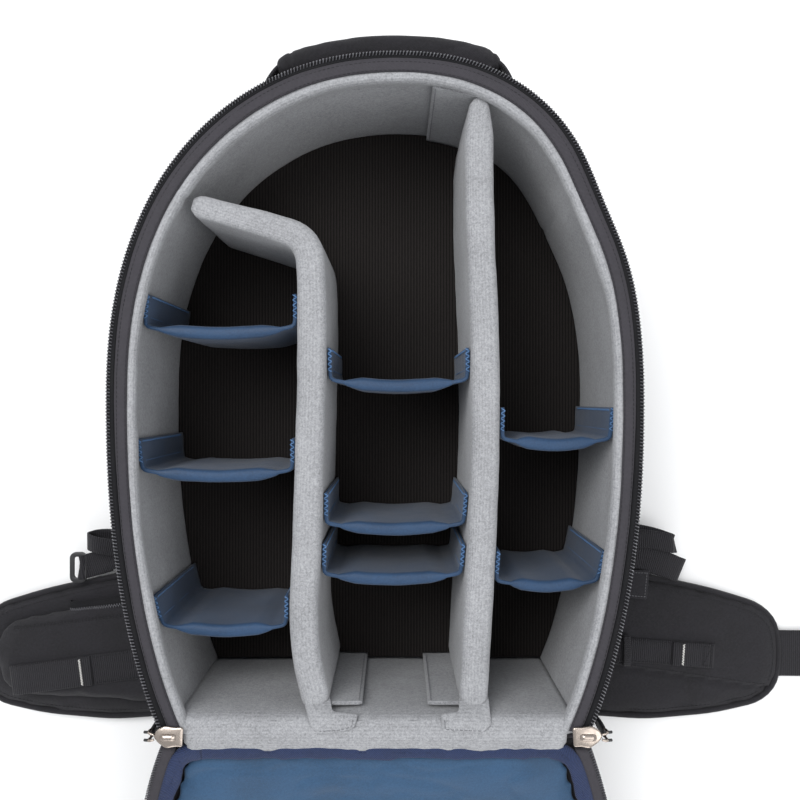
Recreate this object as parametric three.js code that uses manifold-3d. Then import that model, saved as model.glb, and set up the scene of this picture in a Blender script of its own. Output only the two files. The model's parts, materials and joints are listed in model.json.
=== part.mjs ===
// A camera backpack, laid on its harness side with its front panel unzipped and folded down.
// Millimetres. +X is the bag's right as seen from the opening, +Y runs to its top, +Z out of the opening.
// The origin is on the face of the back pad that rests on the table.
import * as THREE from "three";
import { mergeVertices } from "three/addons/utils/BufferGeometryUtils.js";
import Module from "manifold-3d";

const wasm = await Module();
wasm.setup();

// ---- driving dimensions ----
const GAP = 0.3; // between pieces that touch
const RIM_HALF_WIDTH = 174; // the opening's outline at the zipper
const RIM_TOP = 226; // from the outline's widest line to its top
const RIM_BOTTOM = 221; // and to its straight lower edge
const LOWER_REACH = 327; // where the lower curve would close if the straight edge did not cut it
const SQUARENESS = 2.25; // exponent of the outline's curve: 2 is an ellipse
const TOP_LEAN = 14; // how far the soft top leans to the right
const SHOULDER = { depth: 4.5, y: 132, spread: 36 }; // where the right shoulder is pulled in
const LOWER_SHARE = 0.27; // share of an arch's steps on each side below the widest line
const ARCH_STEPS = 44;

const PAD_TOP = 21.7; // harness pads, from the table
const FLOOR_Z = 31; // top of the compartment's floor
const WALL_TOP = 168;
const RIM_Z = 173.5; // top of the binding and of the zipper chain
const SHELL = { outer: 0.5, inner: 2.5 }; // insets from the outline
const PADDING = { outer: 2.8, inner: 13 };
const BOTTOM_WALL_INNER = 206; // inner face of the lower padded wall
const BAND_WIDTH = 7;
const SHELL_TOP = 147.7; // the zipper tape is sewn on above it

const LONG_DIVIDER = { half: 9, top: 164, flap: 3, flapLength: 22 };
const CROSS_DIVIDER = { thick: 7, top: 152, flap: 3, flapLength: 26 };
const SIDE_CLEAR = 1; // between a divider's end and the face beside it

const HINGE = { y: -222, z: 172 };
const LID_OPEN_DEG = 199.7; // from closed to the far edge resting on the table
const WING_ROOT = 114; // where a waist-belt wing starts, from the centre line
const WING_TOP = 15;

// ---- materials ----
const finish = (color, roughness = 0.85, metalness = 0) =>
  new THREE.MeshStandardMaterial({ color, roughness, metalness });
const BLACK = finish(0x1d1c20);
const CHARCOAL = finish(0x3a393d);
const GREY = finish(0x9fa0a2, 0.95);
const BLUE = finish(0x2b4a6c, 0.7);
const RIBBED = finish(0x262422, 0.95);
const MESH = finish(0x222226, 0.9);
const WEBBING = finish(0x1f1f22, 0.8);
const PLASTIC = finish(0x19191b, 0.45);
const NICKEL = finish(0xc8c3bd, 0.3, 1);
const ALUMINIUM = finish(0xb5b7ba, 0.45, 1);
const SHEET = finish(0x2c2c2e, 0.6);
const COIL = finish(0x141416, 0.4);

// ---- helpers ----
const bag = new THREE.Group();

function add(name, geometry, material, parent = bag) {
  const mesh = new THREE.Mesh(geometry, material);
  mesh.name = name;
  parent.add(mesh);
  return mesh;
}

const shapeOf = (points) => new THREE.Shape(points.map(([x, y]) => new THREE.Vector2(x, y)));

// A polygon in the XY plane, as a plate from z0 to z1; bevel softens both its faces' edges.
function plate(shape, z0, z1, bevel = 0) {
  const made = new THREE.ExtrudeGeometry(Array.isArray(shape) ? shapeOf(shape) : shape, {
    depth: z1 - z0 - 2 * bevel,
    bevelEnabled: bevel > 0,
    bevelThickness: bevel,
    bevelSize: bevel,
    bevelOffset: -bevel,
    bevelSegments: 1,
    curveSegments: 4,
  });
  return made.translate(0, 0, z0 + bevel);
}

function box(x0, x1, y0, y1, z0, z1) {
  const made = new THREE.BoxGeometry(x1 - x0, y1 - y0, z1 - z0);
  return made.translate((x0 + x1) / 2, (y0 + y1) / 2, (z0 + z1) / 2);
}

function roundedRect(x0, x1, y0, y1, r) {
  const s = new THREE.Shape();
  s.moveTo(x0 + r, y0);
  s.lineTo(x1 - r, y0);
  s.absarc(x1 - r, y0 + r, r, -Math.PI / 2, 0);
  s.lineTo(x1, y1 - r);
  s.absarc(x1 - r, y1 - r, r, 0, Math.PI / 2);
  s.lineTo(x0 + r, y1);
  s.absarc(x0 + r, y1 - r, r, Math.PI / 2, Math.PI);
  s.lineTo(x0, y0 + r);
  s.absarc(x0 + r, y0 + r, r, Math.PI, 1.5 * Math.PI);
  return s;
}

const hole = (x0, x1, y0, y1, r) => new THREE.Path(roundedRect(x0, x1, y0, y1, r).getPoints(3));

const mirrorX = (points) => points.map(([x, y]) => [-x, y]);

function solid(geometry) {
  const bare = geometry.clone();
  bare.deleteAttribute("normal");
  bare.deleteAttribute("uv");
  const merged = mergeVertices(bare, 1e-3);
  return new wasm.Manifold(
    new wasm.Mesh({
      numProp: 3,
      vertProperties: merged.attributes.position.array,
      triVerts: new Uint32Array(merged.index.array),
    }),
  );
}

function geometryOf(manifold) {
  const m = manifold.getMesh();
  const made = new THREE.BufferGeometry();
  made.setAttribute("position", new THREE.BufferAttribute(m.vertProperties, 3));
  made.setIndex(new THREE.BufferAttribute(m.triVerts, 1));
  return made;
}

// ---- the opening's outline ----
// Half the opening's width at height y, for the outline moved inwards by inset.
function halfWidth(y, inset) {
  const reach = (y >= 0 ? RIM_TOP : LOWER_REACH) - inset;
  const share = Math.min(1, Math.abs(y) / reach);
  return (RIM_HALF_WIDTH - inset) * (1 - share ** SQUARENESS) ** (1 / SQUARENESS);
}

// How far the arch has leaned to the right at height y.
const lean = (y, inset) => TOP_LEAN * (Math.max(0, y) / (RIM_TOP - inset)) ** 3;
// How far its right shoulder is pulled in at height y.
const pulledIn = (y) => SHOULDER.depth * Math.exp(-(((y - SHOULDER.y) / SHOULDER.spread) ** 2));

// A point of the arch: t is 0 at the lower left corner, 0.5 at the top and 1 at the lower right corner.
function archPoint(t, inset, lower = -(RIM_BOTTOM - inset)) {
  if (t < LOWER_SHARE) {
    const y = lower * (1 - t / LOWER_SHARE);
    return [-halfWidth(y, inset), y];
  }
  if (t > 1 - LOWER_SHARE) {
    const y = lower * (1 - (1 - t) / LOWER_SHARE);
    return [halfWidth(y, inset), y];
  }
  const angle = Math.PI * (1 - (t - LOWER_SHARE) / (1 - 2 * LOWER_SHARE));
  const power = 2 / SQUARENESS;
  const c = Math.cos(angle);
  const x = (RIM_HALF_WIDTH - inset) * Math.sign(c) * Math.abs(c) ** power;
  const y = (RIM_TOP - inset) * Math.max(0, Math.sin(angle)) ** power;
  return [x + lean(y, inset) - (x > 0 ? pulledIn(y) * Math.min(1, x / 80) : 0), y];
}

function arch(inset, lower, t0 = 0, t1 = 1) {
  const steps = Array.from({ length: ARCH_STEPS - 1 }, (_, i) => (i + 1) / ARCH_STEPS);
  const between = steps.filter((t) => t > t0 + 1e-6 && t < t1 - 1e-6);
  return [t0, ...between, t1].map((t) => archPoint(t, inset, lower));
}

// The band between two insets of the arch, as a polygon.
function archBand(outer, inner, lower, t0 = 0, t1 = 1) {
  return [...arch(outer, lower, t0, t1), ...arch(inner, lower, t0, t1).reverse()];
}

// ---- back panel: the layers under the compartment ----
const floorLower = -(RIM_BOTTOM - 2.5);
add("back_shell", plate(arch(PADDING.outer, floorLower), PAD_TOP + GAP, 24), BLACK);
for (const [name, x] of [["stay_left", -60], ["stay_right", 60]])
  add(name, plate(roundedRect(x - 12, x + 12, -185, 160, 8), 24.3, 26.3), ALUMINIUM);
add("frame_sheet", plate(arch(10, floorLower + 4), 26.6, 28.6), SHEET);
add("floor_lining", plate(arch(PADDING.outer, floorLower), 28.9, FLOOR_Z), RIBBED);

// ---- the bag's walls ----
add("side_shell", plate(archBand(SHELL.outer, SHELL.inner, floorLower), PAD_TOP + GAP, SHELL_TOP), BLACK);
const bottomCorner = halfWidth(-RIM_BOTTOM, SHELL.outer);
add(
  "bottom_shell",
  box(-bottomCorner, bottomCorner, -RIM_BOTTOM, floorLower - GAP, PAD_TOP + GAP, 164),
  BLACK,
);

const SEAMS = [0, 16 / ARCH_STEPS, 28 / ARCH_STEPS, 1]; // where the lining's side panels meet, along the arch
["padded_wall_left", "padded_wall_top", "padded_wall_right"].forEach((name, i) => {
  const seam = 0.0008;
  const band = archBand(PADDING.outer, PADDING.inner, floorLower, SEAMS[i] + seam, SEAMS[i + 1] - seam);
  add(name, plate(band, FLOOR_Z + GAP, WALL_TOP), GREY);
});
const cornerX = (y) => halfWidth(y, PADDING.inner) - 0.5;
add(
  "padded_wall_bottom",
  plate(
    [
      [-cornerX(floorLower), floorLower],
      [cornerX(floorLower), floorLower],
      [cornerX(-BOTTOM_WALL_INNER), -BOTTOM_WALL_INNER],
      [-cornerX(-BOTTOM_WALL_INNER), -BOTTOM_WALL_INNER],
    ],
    FLOOR_Z + GAP,
    WALL_TOP,
  ),
  GREY,
);

// ---- the rim: binding, zipper tape and chain ----
const rimLower = -(RIM_BOTTOM - 5);
add("rim_binding", plate(archBand(4, 4 + BAND_WIDTH, rimLower), WALL_TOP + GAP, RIM_Z), CHARCOAL);
add("zipper_tape", plate(archBand(0.8, 2.5, rimLower), SHELL_TOP + GAP, 170), WEBBING);
add("zipper_chain", plate(archBand(-1.5, 2.5, -(RIM_BOTTOM - 13)), 170.3, RIM_Z), COIL);

// ---- sliders and their pulls, at the lower corners ----
const SLIDER = { y: -219, z: RIM_Z + GAP, length: 20, width: 12 };
for (const [side, s, x] of [["left", -1, 134], ["right", 1, 138]]) {
  const { y, z, length, width } = SLIDER;
  const base = roundedRect(s * x - length / 2, s * x + length / 2, y - width / 2, y + width / 2, 4);
  const bridge = roundedRect(s * x - 5, s * x + 5, y - 2.6, y + 2.6, 2.5);
  const made = solid(plate(base, z, z + 1.6)).add(solid(plate(bridge, z + 1.2, z + 4.6)));
  add(`zipper_slider_${side}`, geometryOf(made), NICKEL);
  const pullX = s * (x + length / 2 + 3);
  const pull = new THREE.Shape(roundedRect(y - 3.5, y + 3.5, 130, 173, 3).getPoints(3));
  const swung = plate(pull, 0, 3).rotateY(Math.PI / 2).rotateX(Math.PI / 2);
  swung.translate(pullX - 1.5, 0, 0);
  add(`zipper_pull_${side}`, swung, PLASTIC);
}

// ---- long dividers, from the lower wall to the top ----
// Centre lines in plan.
const LEFT_LINE = [[-39, -192], [-49, -158], [-46, -99], [-43, 0], [-42, 96]];
const RIGHT_LINE = [[65, -192], [69, -132], [73, -50], [74, 20], [69, 133], [69, 198]];
// The left divider's upper stretch bends out to the wall: its near side, its tip, then its far side.
const LEFT_ARM = [[-51.3, 103], [-117, 120], [-124, 137.5], [-50, 116], [-41, 117]];
function lineX(line, y) {
  const next = line.findIndex((p) => p[1] > y);
  const i = next < 0 ? line.length - 1 : Math.max(1, next);
  const [[x0, y0], [x1, y1]] = [line[i - 1], line[i]];
  return x0 + ((x1 - x0) * (y - y0)) / (y1 - y0);
}
const { half } = LONG_DIVIDER;
const dividerFloor = FLOOR_Z + 0.6;
const lowerEnd = -BOTTOM_WALL_INNER + 1;
function alongLine(line, offset) {
  return [[line[0][0] + offset, lowerEnd], ...line.map(([x, y]) => [x + offset, y])];
}
const { flap, flapLength } = LONG_DIVIDER;
const leftOutline = [
  ...alongLine(LEFT_LINE, -half).slice(0, -1),
  ...LEFT_ARM,
  ...alongLine(LEFT_LINE, half).slice(1).reverse(),
  [LEFT_LINE[0][0] + half, lowerEnd + flap],
  [LEFT_LINE[0][0] + half + flapLength, lowerEnd + flap],
  [LEFT_LINE[0][0] + half + flapLength, lowerEnd],
];
add("long_divider_left", plate(leftOutline, dividerFloor, LONG_DIVIDER.top), GREY);
// The top wall's inner face above x, found by steps because its lean depends on the height.
function topFlapY(x) {
  const inset = PADDING.inner + 1;
  let y = RIM_TOP - inset;
  for (let step = 0; step < 8; step++) {
    const share = Math.abs(x - lean(y, inset) + pulledIn(y)) / (RIM_HALF_WIDTH - inset);
    y = (RIM_TOP - inset) * (1 - share ** SQUARENESS) ** (1 / SQUARENESS);
  }
  return y;
}
const rightTopX = RIGHT_LINE[RIGHT_LINE.length - 1][0];
const rightFlapEnd = rightTopX - half - flapLength;
const rightOutline = [
  [RIGHT_LINE[0][0] - half - flapLength, lowerEnd],
  [RIGHT_LINE[0][0] - half - flapLength, lowerEnd + flap],
  [RIGHT_LINE[0][0] - half, lowerEnd + flap],
  ...RIGHT_LINE.slice(0, -1).map(([x, y]) => [x - half, y]),
  [rightTopX - half, topFlapY(rightTopX - half) - flap],
  [rightFlapEnd, topFlapY(rightFlapEnd) - flap],
  [rightFlapEnd, topFlapY(rightFlapEnd)],
  [rightTopX - half, topFlapY(rightTopX - half)],
  [rightTopX + half, topFlapY(rightTopX + half) - 1],
  ...RIGHT_LINE.slice(0, -1).map(([x, y]) => [x + half, y]).reverse(),
  [RIGHT_LINE[0][0] + half, lowerEnd],
];
add("long_divider_right", plate(rightOutline, dividerFloor, LONG_DIVIDER.top), GREY);

// ---- cross dividers: a slab with an end flap along the face on each side ----
const leftWall = (y) => lean(y, PADDING.inner) - halfWidth(y, PADDING.inner) + SIDE_CLEAR;
const rightWall = (y) => lean(y, PADDING.inner) - pulledIn(y) + halfWidth(y, PADDING.inner) - SIDE_CLEAR;
const COLUMNS = {
  left: [leftWall, (y) => lineX(LEFT_LINE, y) - half - SIDE_CLEAR],
  middle: [(y) => lineX(LEFT_LINE, y) + half + SIDE_CLEAR, (y) => lineX(RIGHT_LINE, y) - half - SIDE_CLEAR],
  right: [(y) => lineX(RIGHT_LINE, y) + half + SIDE_CLEAR, rightWall],
};
const CROSS_DIVIDERS = [
  ["divider_left_upper", "left", 45],
  ["divider_left_middle", "left", -52],
  ["divider_left_lower", "left", -157],
  ["divider_middle_upper", "middle", 9],
  ["divider_middle_middle", "middle", -88],
  ["divider_middle_lower", "middle", -122],
  ["divider_right_upper", "right", -31],
  ["divider_right_lower", "right", -127],
];
for (const [name, column, y] of CROSS_DIVIDERS) {
  const [left, right] = COLUMNS[column];
  const { thick, top, flap: leaf, flapLength: reach } = CROSS_DIVIDER;
  const outline = [
    [left(y), y],
    [right(y), y],
    [right(y + reach), y + reach],
    [right(y + reach) - leaf, y + reach],
    [right(y + thick) - leaf, y + thick],
    [left(y + thick) + leaf, y + thick],
    [left(y + reach) + leaf, y + reach],
    [left(y + reach), y + reach],
  ];
  add(name, plate(outline, dividerFloor, top), BLUE);
}

// ---- grab handle across the top wall: webbing sewn down at both ends, through a padded sleeve ----
const HANDLE = { low: -3, stand: -10, from: 0.421, bend: 0.016, shift: -0.002 };
const SLEEVE = { inner: -12.5, outer: -29, from: 0.4417, to: 0.5532 };
function handleSide(offset) {
  const { low, stand, from, bend, shift } = HANDLE;
  const shares = [from, from + bend / 2, from + bend];
  for (let t = from + 2 * bend; t < 0.5; t += bend) shares.push(t);
  const all = [...shares, ...shares.map((t) => 1 - t).reverse()];
  return all.map((t) => {
    const rise = Math.min(1, (Math.min(t, 1 - t) - from) / bend);
    return archPoint(t + shift, low + (stand - low) * rise + offset);
  });
}
add("handle_webbing", plate([...handleSide(-1.2), ...handleSide(1.2).reverse()], 112, 132), WEBBING);
const sleeve = archBand(SLEEVE.outer, SLEEVE.inner, floorLower, SLEEVE.from, SLEEVE.to);
add("handle_sleeve", plate(sleeve, 104, 140), BLACK);

// ---- stretch pockets on both side walls ----
const POCKET_SPAN = [0.04, 0.215]; // along the arch
for (const [name, t0, t1] of [
  ["side_pocket_left", ...POCKET_SPAN],
  ["side_pocket_right", 1 - POCKET_SPAN[1], 1 - POCKET_SPAN[0]],
])
  add(name, plate(archBand(-9, 0.2, floorLower, t0, t1), 36, 124), MESH);

// ---- harness side: pads, yoke and shoulder straps ----
const BACK_PAD = [[-60, -105], [60, -105], [56, 40], [14, 118], [-14, 118], [-56, 40]];
add("back_pad", plate(BACK_PAD, 0, PAD_TOP, 3), MESH);
add("lumbar_pad", plate(roundedRect(-105, 105, -215, -112, 18), 0, PAD_TOP, 3), MESH);
add("strap_yoke", plate(roundedRect(-72, 72, 157, 198, 14), 14, PAD_TOP), BLACK);

const STRAP_LINE = [[44, 146], [60, 104], [84, 44], [106, -14], [122, -58], [130, -86]];
const STRAP_HALF = 27;
function strapOutline() {
  const curve = new THREE.CatmullRomCurve3(STRAP_LINE.map(([x, y]) => new THREE.Vector3(x, y, 0)));
  const sides = [[], []];
  for (let i = 0; i <= 14; i++) {
    const p = curve.getPoint(i / 14);
    const d = curve.getTangent(i / 14);
    const width = STRAP_HALF * (1 - 0.25 * (i / 14) ** 4);
    sides[0].push([p.x - d.y * width, p.y + d.x * width]);
    sides[1].push([p.x + d.y * width, p.y - d.x * width]);
  }
  return [...sides[0], ...sides[1].reverse()];
}
// The slack webbing below each strap, folded out beside the bag.
const WEBBING_LEFT = [[-168, -103], [-222, -107], [-240, -114], [-240, -150], [-168, -148]];
const WEBBING_RIGHT = [
  [168, -97], [186, -98], [232, -107], [233, -117],
  [242, -134], [226, -145], [186, -152], [168, -151],
];
for (const [side, s, webbing] of [["left", -1, WEBBING_LEFT], ["right", 1, WEBBING_RIGHT]]) {
  const outline = s > 0 ? strapOutline() : mirrorX(strapOutline());
  add(`shoulder_strap_${side}`, plate(outline, 0.5, 13.5), MESH);
  const lock = roundedRect(s * 134 - 15, s * 134 + 15, -116, -94, 3);
  for (const y of [-108, -100])
    lock.holes.push(hole(s * 134 - 11, s * 134 + 11, y - 1.6, y + 1.6, 0.8));
  add(`strap_adjuster_${side}`, plate(lock, 4, 8), PLASTIC);
  add(`strap_webbing_${side}`, plate(webbing, 15.8, 18.6), WEBBING);
}
const ring = roundedRect(-254, -240.4, -150, -125, 5);
ring.holes.push(hole(-250.8, -244, -146.4, -128.6, 2.6));
add("strap_ring", plate(ring, 15.8, 18.8), PLASTIC);

// ---- waist belt: wings, pocket, webbing strips and buckle ----
const WING = [
  [WING_ROOT, -132], [150, -136], [220, -143.5], [277, -156], [316, -168], [331, -182],
  [336, -210], [331, -238], [316, -252], [277, -261], [220, -266], [165, -262], [WING_ROOT, -245],
];
const BELT_POCKET = [
  [166, -153], [220, -157], [277, -169], [308, -179], [320, -205], [310, -238], [277, -249], [166, -252],
];
add("belt_wing_left", plate(mirrorX(WING), 0.5, WING_TOP), BLACK);
add("belt_wing_right", plate(WING, 0.5, WING_TOP), BLACK);
add("belt_pocket", plate(mirrorX(BELT_POCKET), WING_TOP + GAP, 27, 2), BLACK);
add("belt_pocket_slider", plate(roundedRect(-196, -184, -167, -161, 2), 27.3, 31), NICKEL);
const STRIP_LEFT = [[-168, -198], [-298, -215], [-298, -240], [-168, -223]];
add("belt_strip_left", plate(STRIP_LEFT, 27.3, 29.2), WEBBING);
const STRIP_RIGHT = [[172, -191], [300, -200], [300, -225], [172, -216]];
add("belt_strip_right", plate(STRIP_RIGHT, WING_TOP + GAP, 17.2), WEBBING);
for (const [side, s] of [["left", -1], ["right", 1]]) {
  const [x0, x1] = s < 0 ? [-402, -337.5] : [337.5, 402];
  add(`belt_webbing_${side}`, box(x0, x1, -230, -192, 5, 7.4), WEBBING);
}
// The plug: a bar, a centre tongue and two spring arms with hooked tips.
const PLUG = [
  [-403, -234], [-413, -234], [-416, -231], [-440, -232], [-446, -236], [-452, -233],
  [-450, -227], [-440, -225], [-424, -225], [-424, -216], [-444, -215], [-444, -207],
  [-424, -206], [-424, -197], [-440, -197], [-450, -195], [-452, -189], [-446, -186],
  [-440, -190], [-416, -191], [-413, -188], [-403, -188],
];
add("buckle_plug", plate(PLUG, 2, 9), PLASTIC);
const socketBody = solid(plate(roundedRect(403, 455, -236, -186, 6), 1, 13, 2));
const socketMouth = solid(box(400, 440, -231, -191, 3.4, 10.6));
const armWindows = solid(box(418, 434, -240, -182, 3.8, 10.2));
add("buckle_socket", geometryOf(socketBody.subtract(socketMouth).subtract(armWindows)), PLASTIC);

// ---- front panel (lid), drawn closed and turned open about its fabric hinge ----
const lid = new THREE.Group();
lid.position.set(0, HINGE.y, HINGE.z);
lid.rotation.x = THREE.MathUtils.degToRad(LID_OPEN_DEG);
bag.add(lid);
function addLid(name, geometry, material) {
  add(name, geometry.translate(0, -HINGE.y, -HINGE.z), material, lid);
}
const lidFrom = (distance) => HINGE.y + distance;
addLid("lid_lining", plate(arch(11, lidFrom(11)), 176, 184), BLUE);
addLid("lid_shell", plate(arch(1, lidFrom(8.5)), 184.3, 190), BLACK);
addLid("lid_binding", plate(archBand(2, 10, lidFrom(30)), 177.5, 184), CHARCOAL);
addLid("lid_zipper_chain", plate(archBand(-1.5, 1.6, lidFrom(28)), 175, 178.6), COIL);
addLid("lid_inner_pocket", plate(roundedRect(-118, 118, -20, 150, 30), 173.6, 175.7), BLUE);
addLid("front_pocket", plate(roundedRect(-122, 122, lidFrom(60), lidFrom(400), 46), 190.3, 213, 7), BLACK);
addLid("front_pocket_slider", plate(roundedRect(-92, -80, 98, 104, 2), 213.3, 217), NICKEL);

add("lid_hinge_strip", box(-122, 122, -226, -221.3, 168.3, 171), CHARCOAL);

export default bag;
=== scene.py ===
"""The looks of a camera backpack that lies on its harness with its front panel folded open.

Every length below is in millimetres unless it says otherwise; meshes are scaled to metres as they are made.
The bag's frame: +X right, +Y to the bag's top, +Z out of the opening, and z = 0 is the table.
"""

import json
import math

import bmesh
import bpy
from mathutils import Matrix, Vector, noise
from mathutils.bvhtree import BVHTree


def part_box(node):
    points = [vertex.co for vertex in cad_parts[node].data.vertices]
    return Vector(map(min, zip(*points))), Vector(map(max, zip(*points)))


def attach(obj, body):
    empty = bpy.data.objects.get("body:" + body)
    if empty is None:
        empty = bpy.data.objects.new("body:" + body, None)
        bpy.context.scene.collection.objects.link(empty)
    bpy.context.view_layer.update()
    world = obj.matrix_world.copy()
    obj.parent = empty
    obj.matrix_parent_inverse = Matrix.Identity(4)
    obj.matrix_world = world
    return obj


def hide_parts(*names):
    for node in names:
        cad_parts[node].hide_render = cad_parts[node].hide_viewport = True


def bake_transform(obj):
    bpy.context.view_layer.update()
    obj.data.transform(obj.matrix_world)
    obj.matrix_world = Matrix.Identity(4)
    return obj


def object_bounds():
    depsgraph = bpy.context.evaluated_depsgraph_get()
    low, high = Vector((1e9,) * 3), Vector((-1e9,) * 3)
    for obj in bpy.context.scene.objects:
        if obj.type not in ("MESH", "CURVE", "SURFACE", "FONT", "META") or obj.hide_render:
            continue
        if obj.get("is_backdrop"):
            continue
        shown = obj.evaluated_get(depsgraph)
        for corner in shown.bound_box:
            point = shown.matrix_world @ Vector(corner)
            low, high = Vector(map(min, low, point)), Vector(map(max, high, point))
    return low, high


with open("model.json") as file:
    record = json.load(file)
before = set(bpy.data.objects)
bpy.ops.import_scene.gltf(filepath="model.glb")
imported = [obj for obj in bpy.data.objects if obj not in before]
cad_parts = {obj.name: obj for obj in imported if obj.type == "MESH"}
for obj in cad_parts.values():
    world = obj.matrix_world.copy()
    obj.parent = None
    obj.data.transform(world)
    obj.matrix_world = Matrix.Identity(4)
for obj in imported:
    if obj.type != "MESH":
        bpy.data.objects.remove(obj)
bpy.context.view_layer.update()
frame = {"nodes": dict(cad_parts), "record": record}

MM = 0.001
UP = Vector((0, 0, 1))
ABOVE_ALL = 400  # a height that clears the whole bag
CLOTH_STEPS = 20
scene = bpy.context.scene


def node_box(name):
    """A CAD node's lowest and highest corners in millimetres."""
    low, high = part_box(name)
    return low / MM, high / MM


# ---- camera, floor and light ----
CAMERA = Vector((13.7, 0, 770)) * MM

camera = bpy.data.objects.new("camera", bpy.data.cameras.new("camera"))
scene.collection.objects.link(camera)
camera.location = CAMERA
camera.data.lens = 41.2
camera.data.sensor_width = 36
camera.data.shift_x = 0.005
camera.data.clip_start = 0.02
scene.camera = camera
scene.view_settings.view_transform = "Standard"


def area_light(name, place, target, size, watts):
    data = bpy.data.lights.new(name, "AREA")
    data.shape = "SQUARE"
    data.size = size
    data.energy = watts
    lamp = bpy.data.objects.new(name, data)
    scene.collection.objects.link(lamp)
    lamp.location = place
    lamp.rotation_euler = (Vector(target) - Vector(place)).to_track_quat("-Z", "Y").to_euler()


area_light("key", (-0.55, 0.55, 1.7), (0, 0, 0.1), 1.1, 26)
area_light("fill", (0.9, -0.5, 1.5), (0, 0, 0.1), 1.4, 13)
area_light("low_fill", (0.1, -2.0, 0.7), (0, -0.2, 0.1), 1.2, 8)
world = bpy.data.worlds.new("studio")
scene.world = world
world.use_nodes = True
world.node_tree.nodes["Background"].inputs["Color"].default_value = (0.95, 0.97, 1, 1)
world.node_tree.nodes["Background"].inputs["Strength"].default_value = 0.62


# ---- materials ----
def linear(r, g, b):
    """A colour picked on screen, 0 to 255, as the shader wants it."""

    def one(c):
        c /= 255
        return c / 12.92 if c <= 0.04045 else ((c + 0.055) / 1.055) ** 2.4

    return (one(r), one(g), one(b), 1)


class Nodes:
    """A material and short names for adding nodes to it."""

    def __init__(self, name, color, roughness=0.8, metallic=0.0, sheen=0.0, specular=0.5):
        self.material = bpy.data.materials.new(name)
        self.material.use_nodes = True
        self.tree = self.material.node_tree
        self.shader = self.tree.nodes["Principled BSDF"]
        self.shader.inputs["Base Color"].default_value = color
        self.shader.inputs["Roughness"].default_value = roughness
        self.shader.inputs["Metallic"].default_value = metallic
        self.shader.inputs["Specular IOR Level"].default_value = specular
        if sheen:
            self.shader.inputs["Sheen Weight"].default_value = sheen
            self.shader.inputs["Sheen Roughness"].default_value = 0.5
        self.color = color

    def add(self, kind, **settings):
        node = self.tree.nodes.new(kind)
        for key, value in settings.items():
            setattr(node, key, value)
        return node

    def link(self, a, b):
        self.tree.links.new(a, b)

    def math(self, operation, a, b=0.0):
        node = self.add("ShaderNodeMath", operation=operation)
        for socket, value in zip(node.inputs, (a, b)):
            if isinstance(value, (int, float)):
                socket.default_value = value
            else:
                self.link(value, socket)
        return node.outputs[0]

    def uv(self):
        """The piece's UV coordinates, which are metres along its cloth."""
        split = self.add("ShaderNodeSeparateXYZ")
        self.link(self.add("ShaderNodeTexCoord").outputs["UV"], split.inputs[0])
        return split.outputs[0], split.outputs[1]

    def noise(self, size_mm, detail=2.0, rough=0.5, stretch=(1, 1, 1)):
        """Noise whose blotches are about size_mm across, in the piece's own space, 0 to 1."""
        mapping = self.add("ShaderNodeMapping")
        mapping.inputs["Scale"].default_value = stretch
        self.link(self.add("ShaderNodeTexCoord").outputs["Object"], mapping.inputs[0])
        node = self.add("ShaderNodeTexNoise")
        node.inputs["Scale"].default_value = 1 / (size_mm * MM)
        node.inputs["Detail"].default_value = detail
        node.inputs["Roughness"].default_value = rough
        self.link(mapping.outputs[0], node.inputs["Vector"])
        return node.outputs[0]

    def wave(self, coordinate, pitch_mm):
        """A sine of the coordinate, from -1 to 1."""
        return self.math("SINE", self.math("MULTIPLY", coordinate, 2 * math.pi / (pitch_mm * MM)))

    def blend(self, factor, low, high):
        """The colour between low and high, for a factor from 0 to 1."""
        node = self.add("ShaderNodeMix", data_type="RGBA")
        self.link(factor, node.inputs[0])
        for socket, value in ((node.inputs[6], low), (node.inputs[7], high)):
            if isinstance(value, (tuple, list)):
                socket.default_value = value
            else:
                self.link(value, socket)
        return node.outputs[2]

    def ranged(self, value, low, high, to_low=0.0, to_high=1.0):
        node = self.add("ShaderNodeMapRange")
        self.link(value, node.inputs[0])
        for socket, number in zip(list(node.inputs)[1:5], (low, high, to_low, to_high)):
            socket.default_value = number
        return node.outputs[0]

    def bump(self, height, strength, distance_mm):
        node = self.add("ShaderNodeBump")
        node.inputs["Strength"].default_value = strength
        node.inputs["Distance"].default_value = distance_mm * MM
        self.link(height, node.inputs["Height"])
        self.link(node.outputs[0], self.shader.inputs["Normal"])

    def tint(self, dark, light, factor):
        """Base colour from dark to light shares of the material's own colour."""
        low = tuple(c * dark for c in self.color[:3]) + (1,)
        high = tuple(min(1, c * light) for c in self.color[:3]) + (1,)
        result = self.blend(factor, low, high)
        self.link(result, self.shader.inputs["Base Color"])
        return result


def cloth(name, color, weave, pitch, bump=0.25, depth=0.15, roughness=0.85, sheen=0.05, mottle=0.12,
          grain=1.8):
    """A fabric. weave is plain, twill, rib or cross (ribs across), pitch its repeat in millimetres."""
    m = Nodes(name, color, roughness, sheen=sheen, specular=0.28)
    u, v = m.uv()
    if weave == "plain":
        threads = m.math("MULTIPLY", m.wave(u, pitch), m.wave(v, pitch))
    elif weave == "twill":
        threads = m.wave(m.math("ADD", u, v), pitch)
    elif weave == "rib":
        threads = m.wave(v, pitch)
    else:
        threads = m.wave(u, pitch)
    blotch = m.noise(28, 3)
    fuzz = m.noise(grain, 4, 0.7)
    height = m.math("ADD", m.math("MULTIPLY", threads, 0.3), fuzz)
    shade = m.math("ADD", m.math("MULTIPLY", blotch, 0.4), m.math("MULTIPLY", height, 0.6))
    m.tint(1 - 2 * mottle, 1 + 2 * mottle, m.ranged(shade, 0.36, 0.64))
    m.link(m.ranged(blotch, 0.3, 0.7, roughness - 0.06, min(1, roughness + 0.06)),
           m.shader.inputs["Roughness"])
    m.bump(height, bump, depth)
    return m.material


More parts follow.
